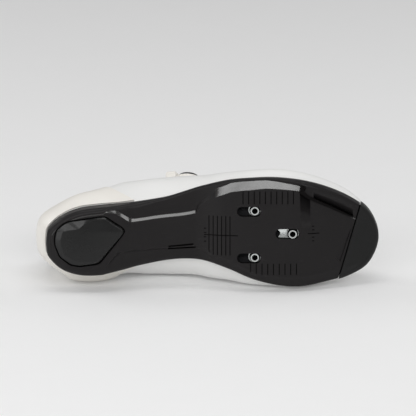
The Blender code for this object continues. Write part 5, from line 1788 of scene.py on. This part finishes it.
@dataclass
class Lacing:
    """Woven lace, its three guides and the dial that winds it."""

    form: ShoeForm
    bench: Bench
    surface: BVHTree
    radius: float = 0.75 * MM
    lift: float = 2.2 * MM
    guide_radius: float = 5.5 * MM
    guide_height: float = 3.4 * MM
    dial_station: float = 0.430
    dial_share: float = 0.52
    dial_radius: float = 11.4 * MM
    knob_radius: float = 9.0 * MM
    knob_height: float = 5.2 * MM
    base_height: float = 3.2 * MM
    collar_height: float = 6.0 * MM
    grips: int = 36
    guides: tuple[tuple[str, float, float], ...] = (
        ("lace_guide_medial_upper", 0.459, 0.365),
        ("lace_guide_lateral", 0.562, -0.305),
        ("lace_guide_medial_lower", 0.634, 0.275),
    )

    def route(self) -> np.ndarray:
        """Centreline of the lace."""
        points = []
        for station, across, rise in LACE_ROUTE:
            lift = self.guide_height * 0.5 + self.lift * (rise - 1.0) + self.radius
            points.append(self.form.over(station, across, lift)[0])
        return smooth_run(np.array(points), 10)

    def build_lace(self) -> bpy.types.Object:
        """Lace with its woven surface."""
        piece = sweep(self.route(), self.radius, 14).object("lace_cord", LACE_CORD)
        return self.bench.deliver(piece, "lace_cord", ["lace"], crease=60)

    def build_guides(self) -> None:
        """Low domed guides, bored for the lace."""
        for name, station, across in self.guides:
            r, h = self.guide_radius, self.guide_height
            profile = [(r, 0.0), (r, h * 0.35), (r * 0.97, h * 0.52), (r * 0.88, h * 0.74),
                       (r * 0.72, h * 0.91), (r * 0.5, h), (r * 0.2, h * 1.02)]
            seat = Seat(self.form, self.surface, station, across)
            guide = seat.turned(profile, 48).object(name + "_cap", WHITE_FILM)
            carve(guide, [sweep(self.route(), self.radius + 0.25 * MM, 14).object("lace_bore")])
            self.bench.deliver(guide, "white_synthetic", [name], crease=40)

    def build_dial(self) -> None:
        """Dial base, ribbed knob, face ring and centre screw."""
        seat = Seat(self.form, self.surface, self.dial_station, -(1 - self.dial_share))
        r, h = self.dial_radius, self.base_height
        rim = self.collar_height
        profile = [(r, 0.0), (r, rim * 0.8), (r - 0.3 * MM, rim * 0.95), (r - 0.9 * MM, rim),
                   (r - 1.5 * MM, rim - 0.2 * MM), (r - 1.9 * MM, rim * 0.85),
                   (r - 2.0 * MM, h), (r * 0.3, h)]
        base = seat.turned(profile, 72).object("dial_seat", HEEL_CUP)
        carve(base, [sweep(self.route(), self.radius + 0.25 * MM, 14).object("lace_bore")])
        self.bench.deliver(base, "heel_cup_plastic", ["dial_base"], crease=40)
        foot = h + self.form.gap
        k, tall = self.knob_radius, self.knob_height
        profile = [(k - 0.5 * MM, foot), (k - 0.1 * MM, foot + 0.4 * MM), (k - 0.1 * MM, foot + tall * 0.7),
                   (k - 0.6 * MM, foot + tall * 0.88), (k - 1.5 * MM, foot + tall),
                   (k - 2.6 * MM, foot + tall), (k - 3.1 * MM, foot + tall - 0.5 * MM),
                   (1.0 * MM, foot + tall - 0.7 * MM)]
        knob = turned(profile, 72, False, seat.matrix).object("dial_cap", DIAL_BLACK)
        self.bench.deliver(knob, "dial_plastic", ["dial_knob"], crease=40)
        spots, facing, heading = [], [], []
        up = np.array(seat.matrix.to_3x3() @ Vector((0, 0, 1)))
        for i in range(self.grips):
            angle = 2 * math.pi * i / self.grips
            out = Vector((math.cos(angle), math.sin(angle), 0))
            spots.append(seat.matrix @ (out * (k - 0.15 * MM) + Vector((0, 0, foot + tall * 0.42))))
            facing.append(seat.matrix.to_3x3() @ out)
            heading.append(up)
        ribs = Repeater(Shape.BEAD, Layout.SCATTER, (tall * 0.72, 1.15 * MM, 0.9 * MM)).make(
            "dial_ribs", [np.array(spots)], [np.array(facing)], DIAL_BLACK, [np.array(heading)])
        self.bench.deliver(ribs, "dial_plastic", crease=80)
        ring = [(4.5 * MM, foot + tall - 0.66 * MM), (4.8 * MM, foot + tall - 0.25 * MM),
                (5.2 * MM, foot + tall - 0.25 * MM), (5.5 * MM, foot + tall - 0.66 * MM)]
        face = turned(ring, 64, True, seat.matrix).object("dial_face_ring", ZINC)
        self.bench.deliver(face, "zinc_steel", crease=40)
        screw = [(2.6 * MM, foot + tall - 0.72 * MM), (2.6 * MM, foot + tall - 0.3 * MM),
                 (2.2 * MM, foot + tall - 0.1 * MM), (0.3 * MM, foot + tall - 0.05 * MM)]
        head = turned(screw, 40, False, seat.matrix).object("dial_screw", ZINC)
        flats = [(1.15 * MM * math.cos(a), 1.15 * MM * math.sin(a)) for a in np.arange(6) * math.pi / 3]
        socket = prism(flats, foot + tall - 0.5 * MM, foot + tall + 1 * MM)
        socket.shape.transform(seat.matrix)
        carve(head, [socket.object("screw_socket")])
        self.bench.deliver(head, "zinc_steel", crease=30)

    def build(self) -> None:
        """Builds and delivers lace, guides and dial."""
        self.build_lace()
        self.build_guides()
        self.build_dial()


@dataclass
class StrapStop:
    """Pale moulded block on the lateral quarter."""

    form: ShoeForm
    bench: Bench
    surface: BVHTree
    station: float = 0.386
    share: float = 0.37
    size: tuple[float, float, float] = (9.0 * MM, 10 * MM, 6.4 * MM)

    def build(self) -> bpy.types.Object:
        """Builds the block and delivers it."""
        seat = Seat(self.form, self.surface, self.station, -(1 - self.share))
        length, width, height = self.size
        rings = []
        for draw, level in ((0.0, None), (0.0, height * 0.8), (height * 0.14, height)):
            x, y = length / 2 - draw, width / 2 - draw
            ring = []
            for p in soften([np.array(c) for c in ((-x, -y), (x, -y), (x, y), (-x, y))], 0.7 * MM, True):
                z = seat.drop(*p) - 0.1 * MM if level is None else level
                ring.append(np.array(seat.matrix @ Vector((*p, z))))
            rings.append(ring)
        piece = bevel(Draft().loft(rings).object("strap_block", HEEL_CUP), 0.35 * MM, 30, 3)
        return self.bench.deliver(piece, "heel_cup_plastic", ["strap_stop"], crease=35)


@dataclass
class Studio:
    """Pale floor, soft lights and the camera at the photograph's angle."""

    bench: Bench
    tilt: float = 11.0
    pixel: float = 0.861 * MM
    frame_pixels: int = 416
    centre_x: float = 139.05 * MM
    centre_up: float = 30.15 * MM
    distance: float = 12.0
    light_distance: float = 1.4
    light_aim: float = 0.05
    sensor: float = 36.0

    def build_camera(self) -> None:
        """Long lens on the sole, tilted and rolled as in the photograph."""
        turn = math.radians(self.tilt)
        rotation = self.bench.pose.to_3x3()
        right = rotation @ Vector((1, 0, 0))
        up = rotation @ Vector((0, -math.cos(turn), math.sin(turn)))
        back = right.cross(up)
        aim = self.bench.world((self.centre_x, -self.centre_up / math.cos(turn), 0))
        lens = bpy.data.cameras.new("camera")
        lens.sensor_width = self.sensor
        lens.lens = self.sensor * self.distance / (self.frame_pixels * self.pixel)
        lens.clip_end = 50
        camera = bpy.data.objects.new("camera", lens)
        bpy.context.scene.collection.objects.link(camera)
        facing = Matrix((right, up, back)).transposed().to_4x4()
        camera.matrix_world = Matrix.Translation(aim + back * self.distance) @ facing
        bpy.context.scene.camera = camera

    def build_floor(self) -> None:
        """Plain floor that runs far past the view."""
        draft = Draft()
        reach = 20.0
        draft.shape.faces.new([draft.shape.verts.new(p) for p in (
            (-reach, -reach, 0), (reach, -reach, 0), (reach, reach, 0), (-reach, reach, 0))])
        draft.object("floor", FLOOR_WHITE)

    def light(self, name: str, azimuth: float, elevation: float,
              size: tuple[float, float], power: float) -> None:
        """Rectangular softbox that looks at the shoe.

        Args:
            name: the light's name.
            azimuth: degrees round the shoe, 0 in front of the sole and 90 past the toe.
            elevation: degrees over the floor.
            size: width and height in metres.
            power: watts.
        """
        lamp = bpy.data.lights.new(name, "AREA")
        lamp.shape = "RECTANGLE"
        lamp.size, lamp.size_y = size
        lamp.energy = power
        a, e = math.radians(azimuth), math.radians(elevation)
        out = Vector((math.sin(a) * math.cos(e), -math.cos(a) * math.cos(e), math.sin(e)))
        made = bpy.data.objects.new(name, lamp)
        spot = out * self.light_distance + Vector((0, 0, self.light_aim))
        made.matrix_world = Matrix.Translation(spot) @ out.to_track_quat("Z", "Y").to_matrix().to_4x4()
        bpy.context.scene.collection.objects.link(made)

    def build_lights(self) -> None:
        """Overhead softbox, front fill over the camera, and side fills."""
        self.light("overhead", 0, 92, (1.3, 0.5), 6)
        self.light("front_high", 0, 36, (2.2, 0.30), 9)
        self.light("heel_low", -48, 8, (0.7, 0.4), 2)
        self.light("toe_side", 110, 30, (0.6, 0.6), 3)
        self.light("heel_side", -110, 30, (0.6, 0.6), 3)
        world = bpy.data.worlds.new("studio")
        world.use_nodes = True
        world.node_tree.nodes["Background"].inputs["Color"].default_value = (1, 1, 1, 1)
        world.node_tree.nodes["Background"].inputs["Strength"].default_value = 0.27
        bpy.context.scene.world = world
        bpy.context.scene.view_settings.view_transform = "Standard"

    def build(self) -> None:
        """Sets the whole studio up."""
        self.build_camera()
        self.build_floor()
        self.build_lights()


def main() -> None:
    """Builds every piece in order and the studio round them."""
    logging.basicConfig(level=logging.INFO, format="%(name)s: %(message)s")
    form = ShoeForm()
    bench = Bench()
    Studio(bench).build()
    sole = Outsole(form, bench)
    sole.build()
    HeelPad(form, bench, sole).build()
    upper = Upper(form, bench)
    ToeBumper(form, bench, sole).build(upper.last_form(form.gap))
    CleatNuts(form, bench, sole).build()
    upper.build()
    HeelCounter(form, bench, upper).build()
    Tongue(form, bench).build()
    Insole(form, bench).build()
    surface = BVHTree.FromBMesh(upper.skin(spread(0, 1, 200), np.linspace(0, 1, 50)).shape)
    Lacing(form, bench, surface).build()
    StrapStop(form, bench, surface).build()


if __name__ == "__main__":
    main()
